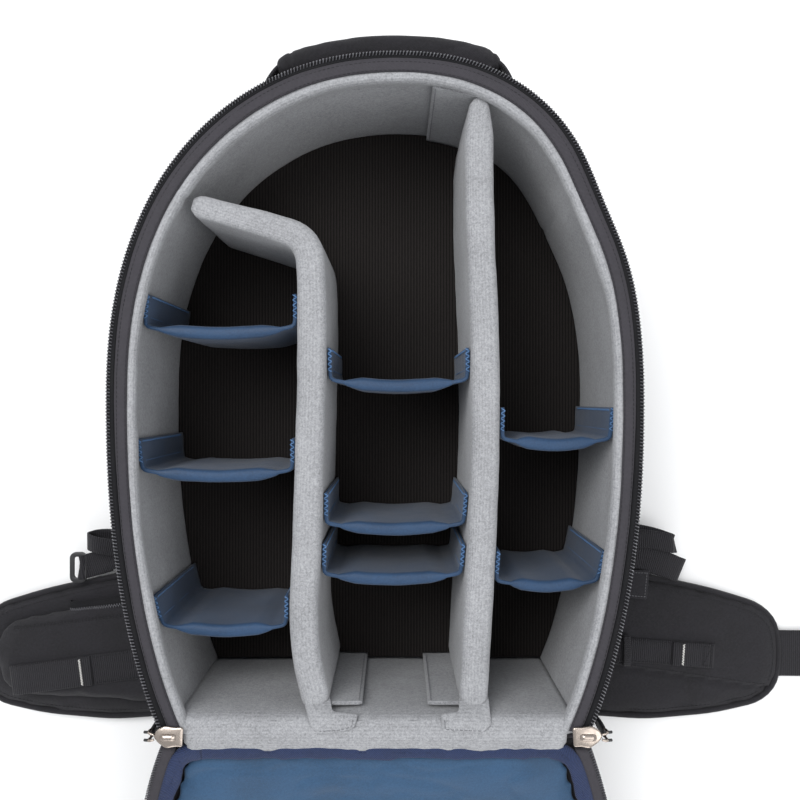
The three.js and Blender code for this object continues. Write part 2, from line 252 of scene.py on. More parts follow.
def brushed(name, color):
    """Loop knit brushed to a short nap, flecked with lighter and darker fibres."""
    m = Nodes(name, color, 0.95, sheen=0.2, specular=0.2)
    nap = m.noise(2.1, 5, 0.8)
    fleck = m.noise(1.1, 3, 0.7)
    rows = m.wave(m.uv()[1], 2.2)
    patch = m.noise(30, 3)
    fibre = m.math("ADD", m.math("MULTIPLY", nap, 0.55), m.math("MULTIPLY", fleck, 0.45))
    shade = m.math("ADD", fibre, m.math("MULTIPLY", m.math("SUBTRACT", patch, 0.5), 0.16))
    shade = m.math("ADD", shade, m.math("MULTIPLY", rows, 0.022))
    m.tint(0.5, 1.42, m.ranged(shade, 0.3, 0.7))
    m.bump(m.math("ADD", fibre, m.math("MULTIPLY", rows, 0.06)), 0.9, 0.8)
    return m.material


def ribbed_loop(name, color):
    """Hook-and-loop lining knitted in ribs."""
    m = Nodes(name, color, 0.95, sheen=0.06, specular=0.2)
    ribs = m.wave(m.uv()[0], 2.4)
    fuzz = m.noise(0.8, 3)
    height = m.math("ADD", m.math("MULTIPLY", ribs, 0.4), fuzz)
    m.tint(0.45, 1.5, m.ranged(height, 0.1, 0.95))
    m.bump(height, 0.6, 0.5)
    return m.material


def spacer_mesh(name, color, pitch=3.2, hole_shade=0.25):
    """Knitted air mesh: rounded holes in staggered rows, dark inside, partly from the layer beneath and partly
    from painted shade.
    """
    m = Nodes(name, color, 0.9, sheen=0.06, specular=0.25)
    u, v = m.uv()
    a = m.wave(u, pitch)
    half = m.math("MULTIPLY", u, 0.5)
    rise = m.math("MULTIPLY", v, 0.866)
    b = m.wave(m.math("ADD", half, rise), pitch)
    c = m.wave(m.math("SUBTRACT", half, rise), pitch)
    cells = m.math("ADD", m.math("ADD", a, b), c)
    knit = m.ranged(cells, -1.2, 1.6)
    fuzz = m.noise(0.7, 2)
    # Painted shade: the holes are darkened to a small share of the mesh colour. This stands for the shade
    # inside them as well as the darker layer beneath.
    m.tint(hole_shade, 1.7, m.math("MULTIPLY", knit, m.ranged(fuzz, 0.2, 0.8, 0.7, 1.1)))
    m.bump(m.math("ADD", knit, m.math("MULTIPLY", fuzz, 0.2)), 0.8, 0.8)
    return m.material


def moulded(name, color, roughness=0.42):
    """Injection-moulded plastic with a fine spark-eroded grain and rubbed patches."""
    m = Nodes(name, color, roughness)
    grain = m.noise(0.35, 2)
    rub = m.noise(9, 3)
    m.tint(0.8, 1.5, m.ranged(rub, 0.35, 0.75))
    m.link(m.ranged(rub, 0.3, 0.7, roughness + 0.08, roughness - 0.08), m.shader.inputs["Roughness"])
    m.bump(grain, 0.12, 0.08)
    return m.material


def metal(name, color, roughness=0.28):
    """Plated or drawn metal with faint scratches and duller smears."""
    m = Nodes(name, color, roughness, metallic=1.0)
    smear = m.noise(4, 3)
    scratch = m.noise(0.5, 2, stretch=(1, 12, 12))
    m.tint(0.78, 1.08, m.ranged(smear, 0.3, 0.7))
    m.link(m.ranged(smear, 0.3, 0.7, roughness + 0.14, roughness - 0.05), m.shader.inputs["Roughness"])
    m.bump(scratch, 0.1, 0.05)
    return m.material


GREY = brushed("grey_lining", linear(150, 151, 154))
CHARCOAL = cloth("charcoal_binding", linear(53, 51, 56), "twill", 0.9, 0.5, 0.3, 0.75, 0.05, 0.12)
NYLON = cloth("black_nylon", linear(32, 31, 35), "plain", 1.1, 0.8, 0.6, 0.7, 0.06, 0.24)
BLUE = cloth("blue_nylon", linear(36, 61, 90), "plain", 0.8, 0.4, 0.25, 0.48, 0.14, 0.14, 1.4)
LID_BLUE = cloth("lid_blue_nylon", linear(44, 73, 102), "plain", 0.8, 0.4, 0.25, 0.58, 0.08, 0.12, 1.4)
SLATE = cloth("slate_binding", linear(36, 48, 80), "twill", 1.5, 0.9, 0.5, 0.8, 0.06, 0.16, 1.6)
LOOP = ribbed_loop("ribbed_loop", linear(34, 31, 30))
AIR_MESH = spacer_mesh("air_mesh", linear(38, 38, 42))
STRETCH = spacer_mesh("stretch_mesh", linear(32, 32, 36), 1.8, 0.4)
WEBBING = cloth("webbing", linear(34, 33, 37), "cross", 1.6, 1.0, 0.7, 0.66, 0.06, 0.16)
TAPE = cloth("zipper_tape", linear(18, 18, 21), "rib", 0.9, 0.5, 0.3, 0.85, 0.0, 0.15)
# Painted highlight: the coil is black nylon, but its base colour is set mid-grey so that the teeth read as
# catching the lamps' glints.
COIL_PAINTED_GLINT = moulded("zipper_coil", linear(76, 76, 80), 0.2)
PLASTIC = moulded("black_plastic", linear(28, 28, 30))
SHEET = moulded("frame_sheet", linear(44, 44, 46), 0.55)
NICKEL = metal("nickel", linear(186, 174, 164), 0.24)
ALUMINIUM = metal("aluminium", linear(190, 191, 195), 0.35)
WHITE_THREAD = cloth("white_thread", linear(214, 212, 208), "twill", 0.5, 0.4, 0.2, 0.8)
BLACK_THREAD = cloth("black_thread", linear(26, 26, 29), "twill", 0.5, 0.4, 0.2, 0.7)
BLUE_THREAD = cloth("blue_thread", linear(84, 118, 160), "twill", 0.5, 0.4, 0.2, 0.7)
GREY_THREAD = cloth("grey_thread", linear(116, 116, 120), "twill", 0.5, 0.4, 0.2, 0.8)

floor_material = Nodes("pale_floor", (0.93, 0.93, 0.93, 1), 0.9)
floor_material.tint(0.99, 1.01, floor_material.noise(60, 2))


# ---- mesh helpers ----
def wobble(x, y, z, size, seed=0.0):
    """Smooth noise from -1 to 1 with blotches about size across."""
    return noise.noise(Vector((x / size + seed, y / size - seed, z / size + 2 * seed)))


def planar_uv(mesh):
    """UVs in metres by each face's main direction, so that a weave keeps its size everywhere."""
    layer = mesh.uv_layers.get("UVMap") or mesh.uv_layers.new(name="UVMap")
    for face in mesh.polygons:
        n = [abs(c) for c in face.normal]
        drop = n.index(max(n))
        keep = [i for i in (0, 1, 2) if i != drop]
        for loop in face.loop_indices:
            co = mesh.vertices[mesh.loops[loop].vertex_index].co
            layer.data[loop].uv = (co[keep[0]], co[keep[1]])


def make(name, verts, faces, material, body=None, replaces=(), slot=None, matrix=None, uvs=None):
    """A mesh piece from points in millimetres. uvs, if given, is one (u, v) in metres for each point."""
    mesh = bpy.data.meshes.new(name)
    mesh.from_pydata([tuple(c * MM for c in v) for v in verts], [], faces)
    if matrix:
        mesh.transform(matrix)
    if uvs:
        layer = mesh.uv_layers.new(name="UVMap")
        for loop in mesh.loops:
            layer.data[loop.index].uv = uvs[loop.vertex_index]
    tidy = bmesh.new()
    tidy.from_mesh(mesh)
    bmesh.ops.recalc_face_normals(tidy, faces=tidy.faces)
    tidy.to_mesh(mesh)
    tidy.free()
    for face in mesh.polygons:
        face.use_smooth = True
    if not uvs:
        planar_uv(mesh)
    piece = bpy.data.objects.new(name, mesh)
    scene.collection.objects.link(piece)
    mesh.materials.append(material)
    if replaces:
        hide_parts(*replaces)
    if body:
        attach(piece, body)
    return piece


def loft(rings, closed=False):
    """Faces between rings of equal length; each ring is a closed loop of points."""
    n = len(rings[0])
    verts = [p for ring in rings for p in ring]
    faces = []
    count = len(rings)
    for i in range(count if closed else count - 1):
        a, b = i * n, ((i + 1) % count) * n
        faces += [(a + j, a + (j + 1) % n, b + (j + 1) % n, b + j) for j in range(n)]
    if not closed:
        faces += [tuple(range(n))[::-1], tuple(range((count - 1) * n, count * n))]
    return verts, faces


def lengths(points):
    """Distance along a path at each of its points."""
    total = [0.0]
    for a, b in zip(points, points[1:]):
        total.append(total[-1] + (Vector(b) - Vector(a)).length)
    return total


def resample(points, step):
    """The same path with evenly spaced points, about step apart."""
    points = [Vector(p) for p in points]
    run = lengths(points)
    count = max(2, round(run[-1] / step))
    result, k = [], 0
    for i in range(count + 1):
        at = run[-1] * i / count
        while k < len(run) - 2 and run[k + 1] < at:
            k += 1
        share = (at - run[k]) / max(1e-9, run[k + 1] - run[k])
        result.append(points[k].lerp(points[k + 1], share))
    return result


def smooth_path(points, step, rounds=2):
    """Corner cutting, then even spacing. The ends stay."""
    points = [Vector(p) for p in points]
    for _ in range(rounds):
        cut = [points[0]]
        for a, b in zip(points, points[1:]):
            cut += [a.lerp(b, 0.25), a.lerp(b, 0.75)]
        points = cut + [points[-1]]
    return resample(points, step)


def directions(points):
    """Unit direction at each point of a path."""
    last = len(points) - 1
    return [(points[min(i + 1, last)] - points[max(i - 1, 0)]).normalized() for i in range(last + 1)]


def merged(parts):
    """Several (verts, faces) as one."""
    verts, faces = [], []
    for v, f in parts:
        base = len(verts)
        verts += v
        faces += [tuple(base + i for i in face) for face in f]
    return verts, faces


def capsule(a, b, radius, sides=5):
    """A short thread from a to b with pinched ends."""
    a, b = Vector(a), Vector(b)
    axis = (b - a).normalized()
    side = axis.orthogonal().normalized()
    up = axis.cross(side)
    rings = []
    for share, r in ((0, 0.35), (0.2, 1), (0.8, 1), (1, 0.35)):
        c = a.lerp(b, share)
        turns = [2 * math.pi * k / sides for k in range(sides)]
        rings.append([c + (side * math.cos(w) + up * math.sin(w)) * radius * r for w in turns])
    return loft(rings)


def stitches(name, path, material, body, pitch=3.2, length=2.3, radius=0.3, matrix=None):
    """A row of stitches along a path."""
    points = resample(path, pitch)
    parts = []
    for a, b in zip(points, points[1:]):
        parts.append(capsule(a, a.lerp(b, length / pitch), radius))
    return make(name, *merged(parts), material, body, matrix=matrix)


def zigzag(path, normal, width, pitch):
    """A zigzag path about a straight-ish one."""
    points = resample(path, pitch)
    return [p + Vector(normal) * (width / 2 if i % 2 else -width / 2) for i, p in enumerate(points)]


def strip(name, path, width, thick, material, body, across=(0, 1, 0), replaces=(), matrix=None, step=4):
    """Webbing or tape: a flat band with soft edges along a path. across is the direction of its width."""
    points = resample(path, step)
    wide = Vector(across).normalized()
    section = []
    for u, w in ((-1, -0.4), (-0.96, -1), (-0.5, -1), (0, -1), (0.5, -1), (0.96, -1), (1, -0.4),
                 (1, 0.4), (0.96, 1), (0.5, 1), (0, 1), (-0.5, 1), (-0.96, 1), (-1, 0.4)):
        section.append((u * width / 2, w * thick / 2))
    rings, uvs = [], []
    run = lengths(points)
    for p, d, at in zip(points, directions(points), run):
        side = (wide - d * wide.dot(d)).normalized()
        up = side.cross(d)
        rings.append([p + side * u + up * w for u, w in section])
        uvs += [(at * MM, u * MM) for u, w in section]
    verts, faces = loft(rings)
    return make(name, verts, faces, material, body, replaces, matrix=matrix, uvs=uvs)


def tube(name, path, radius, material, body, sides=8, closed=False, matrix=None, squash=1.0):
    """A round cord, such as piping, along a path."""
    points = [Vector(p) for p in path]
    rings = []
    count = len(points)
    for i, p in enumerate(points):
        a = points[(i - 1) % count if closed else max(0, i - 1)]
        b = points[(i + 1) % count if closed else min(count - 1, i + 1)]
        d = (b - a).normalized()
        side = d.cross(UP)
        side = side.normalized() if side.length > 1e-3 else d.orthogonal().normalized()
        up = side.cross(d)
        turns = [2 * math.pi * k / sides for k in range(sides)]
        rings.append([p + (side * math.cos(w) + up * math.sin(w) * squash) * radius for w in turns])
    return make(name, *loft(rings, closed), material, body, matrix=matrix)


def catmull(points, per):
    """A smooth curve through the points, in so many steps between each two."""
    points = [Vector(p) for p in points]
    last = len(points) - 1
    result = []
    for i in range(last):
        p0, p1, p2, p3 = points[max(i - 1, 0)], points[i], points[i + 1], points[min(i + 2, last)]
        for k in range(per):
            t = k / per
            result.append(
                0.5 * (2 * p1 + (p2 - p0) * t + (2 * p0 - 5 * p1 + 4 * p2 - p3) * t * t
                       + (3 * p1 - p0 - 3 * p2 + p3) * t ** 3)
            )
    return result + [points[-1]]


def bake(piece):
    """Applies the piece's modifiers to its mesh."""
    graph = bpy.context.evaluated_depsgraph_get()
    graph.update()
    mesh = bpy.data.meshes.new_from_object(piece.evaluated_get(graph), preserve_all_data_layers=True,
                                           depsgraph=graph)
    old = piece.data
    piece.modifiers.clear()
    piece.data = mesh
    bpy.data.meshes.remove(old)
    for face in mesh.polygons:
        face.use_smooth = True


class Surface:
    """A finished mesh that rows of stitches and bands are laid on."""

    def __init__(self, piece):
        mesh = piece.data
        self.tree = BVHTree.FromPolygons([v.co for v in mesh.vertices], [f.vertices for f in mesh.polygons])

    def drop(self, x, y, lift=0.0):
        """The point of the surface's upper side at (x, y), lift millimetres above it."""
        hit = self.tree.ray_cast(Vector((x, y, ABOVE_ALL)) * MM, -UP)[0]
        return Vector((x, y, (hit.z / MM if hit else 0.0) + lift))


def puff(piece, voxel, pressure, cap, after=None):
    """Inflates a pad as cloth over its own volume. A point moves at most cap, and after(point, normal)
    then shapes it."""
    remesh = piece.modifiers.new("remesh", "REMESH")
    remesh.mode = "VOXEL"
    remesh.voxel_size = voxel * MM
    bake(piece)
    rest = [v.co.copy() for v in piece.data.vertices]
    modifier = piece.modifiers.new("cloth", "CLOTH")
    settings = modifier.settings
    settings.use_pressure = True
    settings.uniform_pressure_force = pressure
    settings.effector_weights.gravity = 0
    settings.quality = 3
    settings.tension_stiffness = 20
    settings.compression_stiffness = 20
    settings.bending_stiffness = 0.6
    modifier.collision_settings.use_collision = False
    modifier.point_cache.frame_start = 1
    modifier.point_cache.frame_end = CLOTH_STEPS
    for step in range(1, CLOTH_STEPS + 1):
        scene.frame_set(step)
    graph = bpy.context.evaluated_depsgraph_get()
    moved = piece.evaluated_get(graph).to_mesh()
    final = [v.co.copy() for v in moved.vertices]
    piece.evaluated_get(graph).to_mesh_clear()
    piece.modifiers.clear()
    scene.frame_set(1)
    for vertex, before, now in zip(piece.data.vertices, rest, final):
        step = now - before
        if step.length > cap * MM:
            step *= cap * MM / step.length
        vertex.co = before + step
    piece.modifiers.new("subdivide", "SUBSURF").levels = 1
    bake(piece)
    if after:
        normals = [v.normal.copy() for v in piece.data.vertices]
        for vertex, normal in zip(piece.data.vertices, normals):
            vertex.co = after(vertex.co / MM, normal) * MM
    planar_uv(piece.data)


def pad(name, outline, z0, z1, material, body, replaces=(), voxel=5.0, cap=4.0, pressure=4.0,
        after=None, matrix=None):
    """A stuffed pad over an outline in plan: a plain block that puff() inflates."""
    low = [(x, y, z0) for x, y in outline]
    high = [(x, y, z1) for x, y in outline]
    piece = make(name, *loft([low, high]), material)
    puff(piece, voxel, pressure, cap, after=after)
    if matrix:
        piece.data.transform(matrix)
    if replaces:
        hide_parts(*replaces)
    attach(piece, body)
    return piece


def inset(outline, distance):
    """A closed outline in plan moved inwards."""
    points = [Vector((x, y)) for x, y in outline]
    n = len(points)
    area = sum(a.x * b.y - b.x * a.y for a, b in zip(points, points[1:] + points[:1]))
    turn = 1 if area > 0 else -1
    result = []
    for i, p in enumerate(points):
        a = (p - points[i - 1]).normalized()
        b = (points[(i + 1) % n] - p).normalized()
        na, nb = Vector((-a.y, a.x)) * turn, Vector((-b.y, b.x)) * turn
        middle = (na + nb).normalized()
        result.append(tuple(p + middle * distance / max(0.35, middle.dot(nb))))
    return result


def rounded(outline, radius, steps=5):
    """A closed outline in plan with its corners rounded."""
    points = [Vector((x, y)) for x, y in outline]
    n = len(points)
    result = []
    for i, p in enumerate(points):
        a, b = points[i - 1], points[(i + 1) % n]
        reach = min(radius, (a - p).length / 2.05, (b - p).length / 2.05)
        start = p + (a - p).normalized() * reach
        end = p + (b - p).normalized() * reach
        for k in range(steps + 1):
            t = k / steps
            result.append(tuple(start * (1 - t) ** 2 + p * 2 * t * (1 - t) + end * t * t))
    return result


def rectangle(x0, x1, y0, y1):
    return [(x0, y0), (x1, y0), (x1, y1), (x0, y1)]


def leaf(name, outline, z0, z1, material, body, replaces=(), slot=None, matrix=None, shape=None, rings=14,
         soft=1.2):
    """A flat cloth panel with a rolled edge: rings from the outline to its middle, above and below."""
    middle = sum((Vector(p) for p in outline), Vector((0, 0))) / len(outline)
    half = (z1 - z0) / 2

    def ring(share, z):
        return [Vector((*(middle.lerp(Vector(p), share)), z)) for p in outline]

    reach = max((Vector(p) - middle).length for p in outline)
    edge = soft / reach
    centre = (z0 + z1) / 2
    shares = [k / rings for k in range(1, rings)]
    sections = [(0.02, z0)] + [(s * (1 - edge), z0) for s in shares] + [(1 - edge, z0)]
    sections += [(1 - 0.3 * edge, centre - 0.7 * half), (1, centre), (1 - 0.3 * edge, centre + 0.7 * half)]
    sections += [(1 - edge, z1)] + [(s * (1 - edge), z1) for s in reversed(shares)] + [(0.02, z1)]
    loops = [ring(*section) for section in sections]
    if shape:
        loops = [[Vector(shape(p)) for p in loop] for loop in loops]
    return make(name, *loft(loops), material, body, replaces, slot, matrix)


def from_cad(node, body, bevel):
    """A moulded part: the CAD node's own solid with its sharp edges rounded off."""
    source = frame["nodes"][node]
    mesh = source.data.copy()
    mesh.transform(source.matrix_world)
    mesh.materials.clear()
    mesh.materials.append(PLASTIC)
    clean = bmesh.new()
    clean.from_mesh(mesh)
    bmesh.ops.remove_doubles(clean, verts=clean.verts, dist=1e-6)
    bmesh.ops.dissolve_limit(clean, angle_limit=0.02, verts=clean.verts, edges=clean.edges)
    clean.to_mesh(mesh)
    clean.free()
    piece = bpy.data.objects.new(f"{node}_body", mesh)
    scene.collection.objects.link(piece)
    modifier = piece.modifiers.new("bevel", "BEVEL")
    modifier.width = bevel * MM
    modifier.segments = 3
    modifier.limit_method = "ANGLE"
    modifier.angle_limit = math.radians(28)
    bake(piece)
    piece.data.set_sharp_from_angle(angle=math.radians(40))
    planar_uv(piece.data)
    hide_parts(node)
    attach(piece, body)


def repaint(node, material):
    """A CAD node that stays as it is gets its material."""
    slots = frame["nodes"][node].data.materials
    slots.clear()
    slots.append(material)


def edge_cord(name, outline, z, radius, material, body, matrix=None, squash=1.0):
    """Piping round a closed outline in plan."""
    path = [Vector((x, y, z)) for x, y in outline]
    return tube(name, path, radius, material, body, closed=True, matrix=matrix, squash=squash)


def coil_rows(name, path, body, matrix=None, size=1.0):
    """A closed coil zipper: two rows of loops that meet over the middle of a path."""
    points = resample(path, 1.05)
    parts = []
    for i, (p, d) in enumerate(zip(points, directions(points))):
        side = UP.cross(d).normalized() * (1 if i % 2 else -1)
        parts.append(capsule(p + side * 1.89 * size, p - side * 0.495 * size, 0.62 * size, 6))
    return make(name, *merged(parts), COIL_PAINTED_GLINT, body, slot="zipper_coil", matrix=matrix)


# ---- the opening's outline, from the zipper's box ----
CHAIN_OUT = 1.5  # how far the chain stands outside the outline
HALF = node_box("zipper_chain")[1].x - CHAIN_OUT
TOP = node_box("zipper_chain")[1].y - CHAIN_OUT
LOWER_REACH = 327  # where the two sides would meet if they ran on below the hinge
SQUARENESS = 2.25  # exponent of the outline's curve: 2 is an ellipse
TOP_LEAN = 14  # how far the soft top leans to the right
SHOULDER_DEPTH, SHOULDER_Y, SHOULDER_SPREAD = 4.5, 132, 36  # where the right shoulder is pulled in
LOWER_SHARE = 0.27  # share of t on each side that lies below y = 0
WALL_Z = node_box("padded_wall_left")[1].z
FLOOR_Z = node_box("floor_lining")[1].z
WALL_END = -218.3  # where the side walls end, at the hinge


def half_width(y, inset):
    """The outline's half width at height y, before it leans."""
    reach = (TOP if y >= 0 else LOWER_REACH) - inset
    share = min(1.0, abs(y) / reach)
    return (HALF - inset) * (1 - share ** SQUARENESS) ** (1 / SQUARENESS)


def lean(y, inset):
    """How far the arch has leaned to the right at height y."""
    return TOP_LEAN * (max(0.0, y) / (TOP - inset)) ** 3


def pulled_in(y):
    """How far the right shoulder is pulled in at height y."""
    return SHOULDER_DEPTH * math.exp(-(((y - SHOULDER_Y) / SHOULDER_SPREAD) ** 2))


def arch_point(t, inset, lower):
    """A point of the arch: 0 at the lower left corner, 0.5 at the top, 1 at the lower right corner."""
    if t < LOWER_SHARE or t > 1 - LOWER_SHARE:
        side = -1 if t < 0.5 else 1
        y = lower * (1 - min(t, 1 - t) / LOWER_SHARE)
        return side * half_width(y, inset), y
    angle = math.pi * (1 - (t - LOWER_SHARE) / (1 - 2 * LOWER_SHARE))
    power = 2 / SQUARENESS
    c = math.cos(angle)
    x = (HALF - inset) * math.copysign(abs(c) ** power, c)
    y = (TOP - inset) * max(0.0, math.sin(angle)) ** power
    return x + lean(y, inset) - (pulled_in(y) * min(1, x / 80) if x > 0 else 0), y


def even_shares(step, inset, lower):
    """Values of t whose points are evenly spaced along the arch."""
    fine = [Vector(arch_point(i / 1500, inset, lower)).to_3d() for i in range(1501)]
    run = lengths(fine)
    count = round(run[-1] / step)
    result, k = [], 0
    for i in range(count + 1):
        at = run[-1] * i / count
        while k < 1499 and run[k + 1] < at:
            k += 1
        result.append((k + (at - run[k]) / (run[k + 1] - run[k])) / 1500)
    return result, run[-1]


def rim_sweep(name, profile, material, body, lower, step=4.0, change=None, replaces=(), matrix=None,
              slot=None):
    """Sweeps a closed profile of (inset, z) round the arch. change(t, run, d, z) may move a point."""
    shares, total = even_shares(step, 8, lower)
    rings, uvs = [], []
    along = [0.0]
    for a, b in zip(profile, profile[1:]):
        along.append(along[-1] + math.dist(a, b))
    for i, t in enumerate(shares):
        run = total * i / (len(shares) - 1)
        ring = []
        for (d, z), v in zip(profile, along):
            if change:
                d, z = change(t, run, d, z)
            x, y = arch_point(t, d, lower)
            ring.append((x, y, z))
            uvs.append((run * MM, v * MM))
        rings.append(ring)
    verts, faces = loft(rings)
    return make(name, verts, faces, material, body, replaces, slot, matrix, uvs)


TOOTH = ((-1.3, 0.4, 0.7), (0.5, 0.4, 0.75), (0.8, 0.66, 0.95), (1.3, 0.66, 0.9), (1.55, 0.36, 0.55))


def teeth(name, inset, z, lower, body, matrix=None, replaces=()):
    """One side of a coil zipper: a slanted loop with a fuller head at its outer end, again and again."""
    parts = []
    for t in even_shares(2.2, inset, lower)[0]:
        x, y = arch_point(t, inset, lower)
        x2, y2 = arch_point(min(1, t + 0.001), inset, lower)
        x1, y1 = arch_point(max(0, t - 0.001), inset, lower)
        along = Vector((x2 - x1, y2 - y1, 0)).normalized()
        out = Vector((-along.y, along.x, 0))
        reach = (out + along * 0.28).normalized()
        rings = []
        for far, wide, tall in TOOTH:
            c = Vector((x, y, z)) + reach * far
            rings.append([
                c + along * wide * math.cos(w) + Vector((0, 0, tall * math.sin(w)))
                for w in (math.pi * (2 * k + 1) / 6 for k in range(6))
            ])
        parts.append(loft(rings))
    return make(name, *merged(parts), COIL_PAINTED_GLINT, body, replaces, "zipper_coil", matrix)


# ---- compartment: padded walls and floor ----
SEAM_SHARES = (16 / 44, 28 / 44)  # where the side panels of the lining meet
WALL_FACE = 12.6  # inset of the lining's inner face


def wall_shape(t, run, d, z):
    inner = min(1.0, max(0.0, (d - 8) / 4))
    slack = math.exp(-(((t - 0.63) / 0.055) ** 2)) + 0.6 * math.exp(-(((t - 0.40) / 0.05) ** 2))
    high = min(1.0, max(0.0, (z - 60) / 60)) * (1 - 0.6 * max(0, (z - 160) / 12))
    d += inner * slack * high * (1.6 + 2.6 * wobble(run, z * 0.5, 0, 30, 3.7))
    d += inner * (0.7 * wobble(run, z, 0, 60, 1.3) + 0.3 * wobble(run, z, 5, 17, 2.1))
    for seam in SEAM_SHARES:
        d -= inner * 1.1 * math.exp(-(((t - seam) * 1150) / 2.2) ** 2)
    if z > WALL_Z - 8:
        d += 0.35 * wobble(run, 3, 0, 24, 6.4)
        z += 0.45 * wobble(run, 3, 0, 26, 4.4) + 0.22 * wobble(run, 9, 0, 8, 3.1)
    return d, z


wall_profile = (
    [(3.1, 31.6), (3.1, 100), (3.1, 158), (3.4, 165), (5.2, 168), (8.5, 169.3), (10.6, 170.7), (12.4, 171.7)]
    + [(14.2, 171.7), (15.8, 170.7), (16.8, 168.6), (17.0, 166), (16.4, 162.8), (15.0, 159.4), (13.6, 155)]
    + [(WALL_FACE, z) for z in (148, 136, 124, 112, 100, 88, 76, 64, 52, 42)]
    + [(12.3, 34), (12.0, 31.6)]
)
walls = rim_sweep("lining_walls", wall_profile, GREY, "bag", WALL_END, 3.6, wall_shape,
                  ("padded_wall_left", "padded_wall_top", "padded_wall_right"), slot="grey_lining")


def bottom_wall():
    """The lower padded wall, whose top rolls over towards the hinge."""
    low, high = node_box("padded_wall_bottom")
    y0, y1 = low.y, high.y
    profile = [(y0 + 0.2, 31.6), (y0 + 0.2, 100), (y0 + 0.2, 156), (y0 + 0.4, 164), (y0 + 1.6, 168.2)]
    profile += [(y0 + 4.6, 170.4), (y0 + 7.4, 170.0), (y1 - 2.4, 167.6), (y1 - 0.9, 163), (y1 - 0.3, 156)]
    profile += [(y1 - 0.2, z) for z in (148, 136, 120, 104, 88, 72, 56, 42)] + [(y1 - 0.4, 31.6)]
    rings, uvs = [], []
    count = 72
    for i in range(count + 1):
        share = -1 + 2 * i / count
        ring = []
        for y, z in profile:
            inner = (y - y0) / (y1 - y0)
            end = half_width(y, WALL_FACE) - 0.4 + (3.5 if z > 160 else 0)
            x = share * end
            y += inner * (0.7 * wobble(x, z, 0, 60, 6.2) + 0.3 * wobble(x, z, 2, 18, 7.2) - 0.5)
            if z > 160:
                z += 0.6 * wobble(x, y, 0, 30, 8.8) + 0.3 * wobble(x, y, 4, 9, 2.8)
                z -= 2.0 * max(0, abs(share) - 0.95) / 0.05
            ring.append((x, y, z))
            uvs.append((x * MM, (y + z) * MM))
        rings.append(ring)
    wall = make("lining_wall_bottom", *loft(rings), GREY, "bag", ("padded_wall_bottom",), "grey_lining",
                uvs=uvs)


bottom_wall()


def compartment_floor():
    """The loop-faced floor, a little wavy over the back panel's foam."""
    outline = [arch_point(i / 90, 3.4, WALL_END) for i in range(91)]
    rings = []
    for k in range(26):
        share = 1 - k / 25.5
        ring = []
        for x, y in outline:
            px, py = x * share, y * share
            z = FLOOR_Z - 0.3 + 0.5 * wobble(px, py, 0, 70, 3.3) if k else FLOOR_Z - 0.4
            ring.append((px, py, z))
        rings.append(ring)
    under = [(x, y, FLOOR_Z - 1.9) for x, y, _ in rings[0]]
    make("compartment_floor", *loft([under] + rings), LOOP, "bag", ("floor_lining",), "ribbed_loop")


compartment_floor()


# ---- rim: binding, tape, teeth ----
RIM_LOWER = -216  # where the binding and the tape end, at the lower corners


def band_shape(t, run, d, z):
    if d < 8:
        d -= 1.7 * min(1.0, max(0.0, (min(t, 1 - t) - 0.2) / 0.15))
    d += 0.22 * wobble(run, d, 0, 22, 9.1)
    if z > 171:
        z += 0.22 * wobble(run, d, 0, 13, 5.5) + 0.16 * wobble(run * 1.7, d, 3, 5, 6.5)
    return d, z


band_profile = [(4.3, 168.7), (4.0, 171.0), (4.4, 172.5), (5.3, 173.2), (7.5, 173.6), (9.9, 173.5),
                (11.2, 173.0), (11.8, 172.0), (11.3, 171.3), (8.0, 170.9), (5.6, 169.6)]
rim_sweep("rim_band", band_profile, CHARCOAL, "bag", RIM_LOWER, 3.0, band_shape, ("rim_binding",),
          slot="charcoal_binding")
tape_profile = [(2.4, 148), (1.0, 148), (0.8, 160), (0.7, 168.2), (-0.2, 169.6), (-1.5, 170.5), (-1.8, 171.1),
                (0.6, 171.6), (3.8, 171.5), (3.9, 170.7), (2.5, 169.6), (2.3, 160)]
rim_sweep("rim_zipper_tape", tape_profile, TAPE, "bag", RIM_LOWER, 3.5, None, ("zipper_tape",),
          slot="webbing")
teeth("rim_zipper_teeth", -0.5, 172.2, -213, "bag", replaces=("zipper_chain",))
for inset_mm, label in ((5.4, "outer"), (10.9, "inner")):
    shares, _ = even_shares(3, inset_mm, -214)
    path = [(*arch_point(t, inset_mm, -214), 173.5 if inset_mm < 8 else 173.1) for t in shares]
    stitches(f"rim_stitches_{label}", path, BLACK_THREAD, "bag", 3.0, 2.1, 0.22)


# ---- outer shell ----
SHELL_SEAMS = (46, 134)


def shell_shape(t, run, d, z):
    if d < 1.5:
        d += 0.3 * wobble(run, z, 0, 48, 2.7) + 0.16 * wobble(run, z * 2, 0, 14, 1.9)
        for seam in SHELL_SEAMS:
            d += 0.8 * math.exp(-((z - seam) / 1.3) ** 2)
    return d, z


shell_profile = [(2.4, 22.2), (0.8, 22.2)] + [(0.5, z) for z in range(26, 146, 4)] + [(0.7, 147.4),
                                                                                      (2.4, 147.4)]
rim_sweep("side_shell_cloth", shell_profile, NYLON, "bag", -218.4, 4.0, shell_shape, ("side_shell",),
          slot="black_nylon")
shares, _ = even_shares(3.4, 0.4, -218)
for z, label in ((SHELL_SEAMS[0] + 3, "low"), (SHELL_SEAMS[1] + 3, "high")):
    path = [(*arch_point(t, 0.3, -218), z) for t in shares]
    stitches(f"shell_stitches_{label}", path, BLACK_THREAD, "bag", 3.4, 2.4, 0.28)
for z, label in ((24.4, "back"), (148.4, "front")):
    path = [(*arch_point(t, 0.1, -218), z) for t in shares]
    tube(f"shell_piping_{label}", path, 1.7, CHARCOAL, "bag")


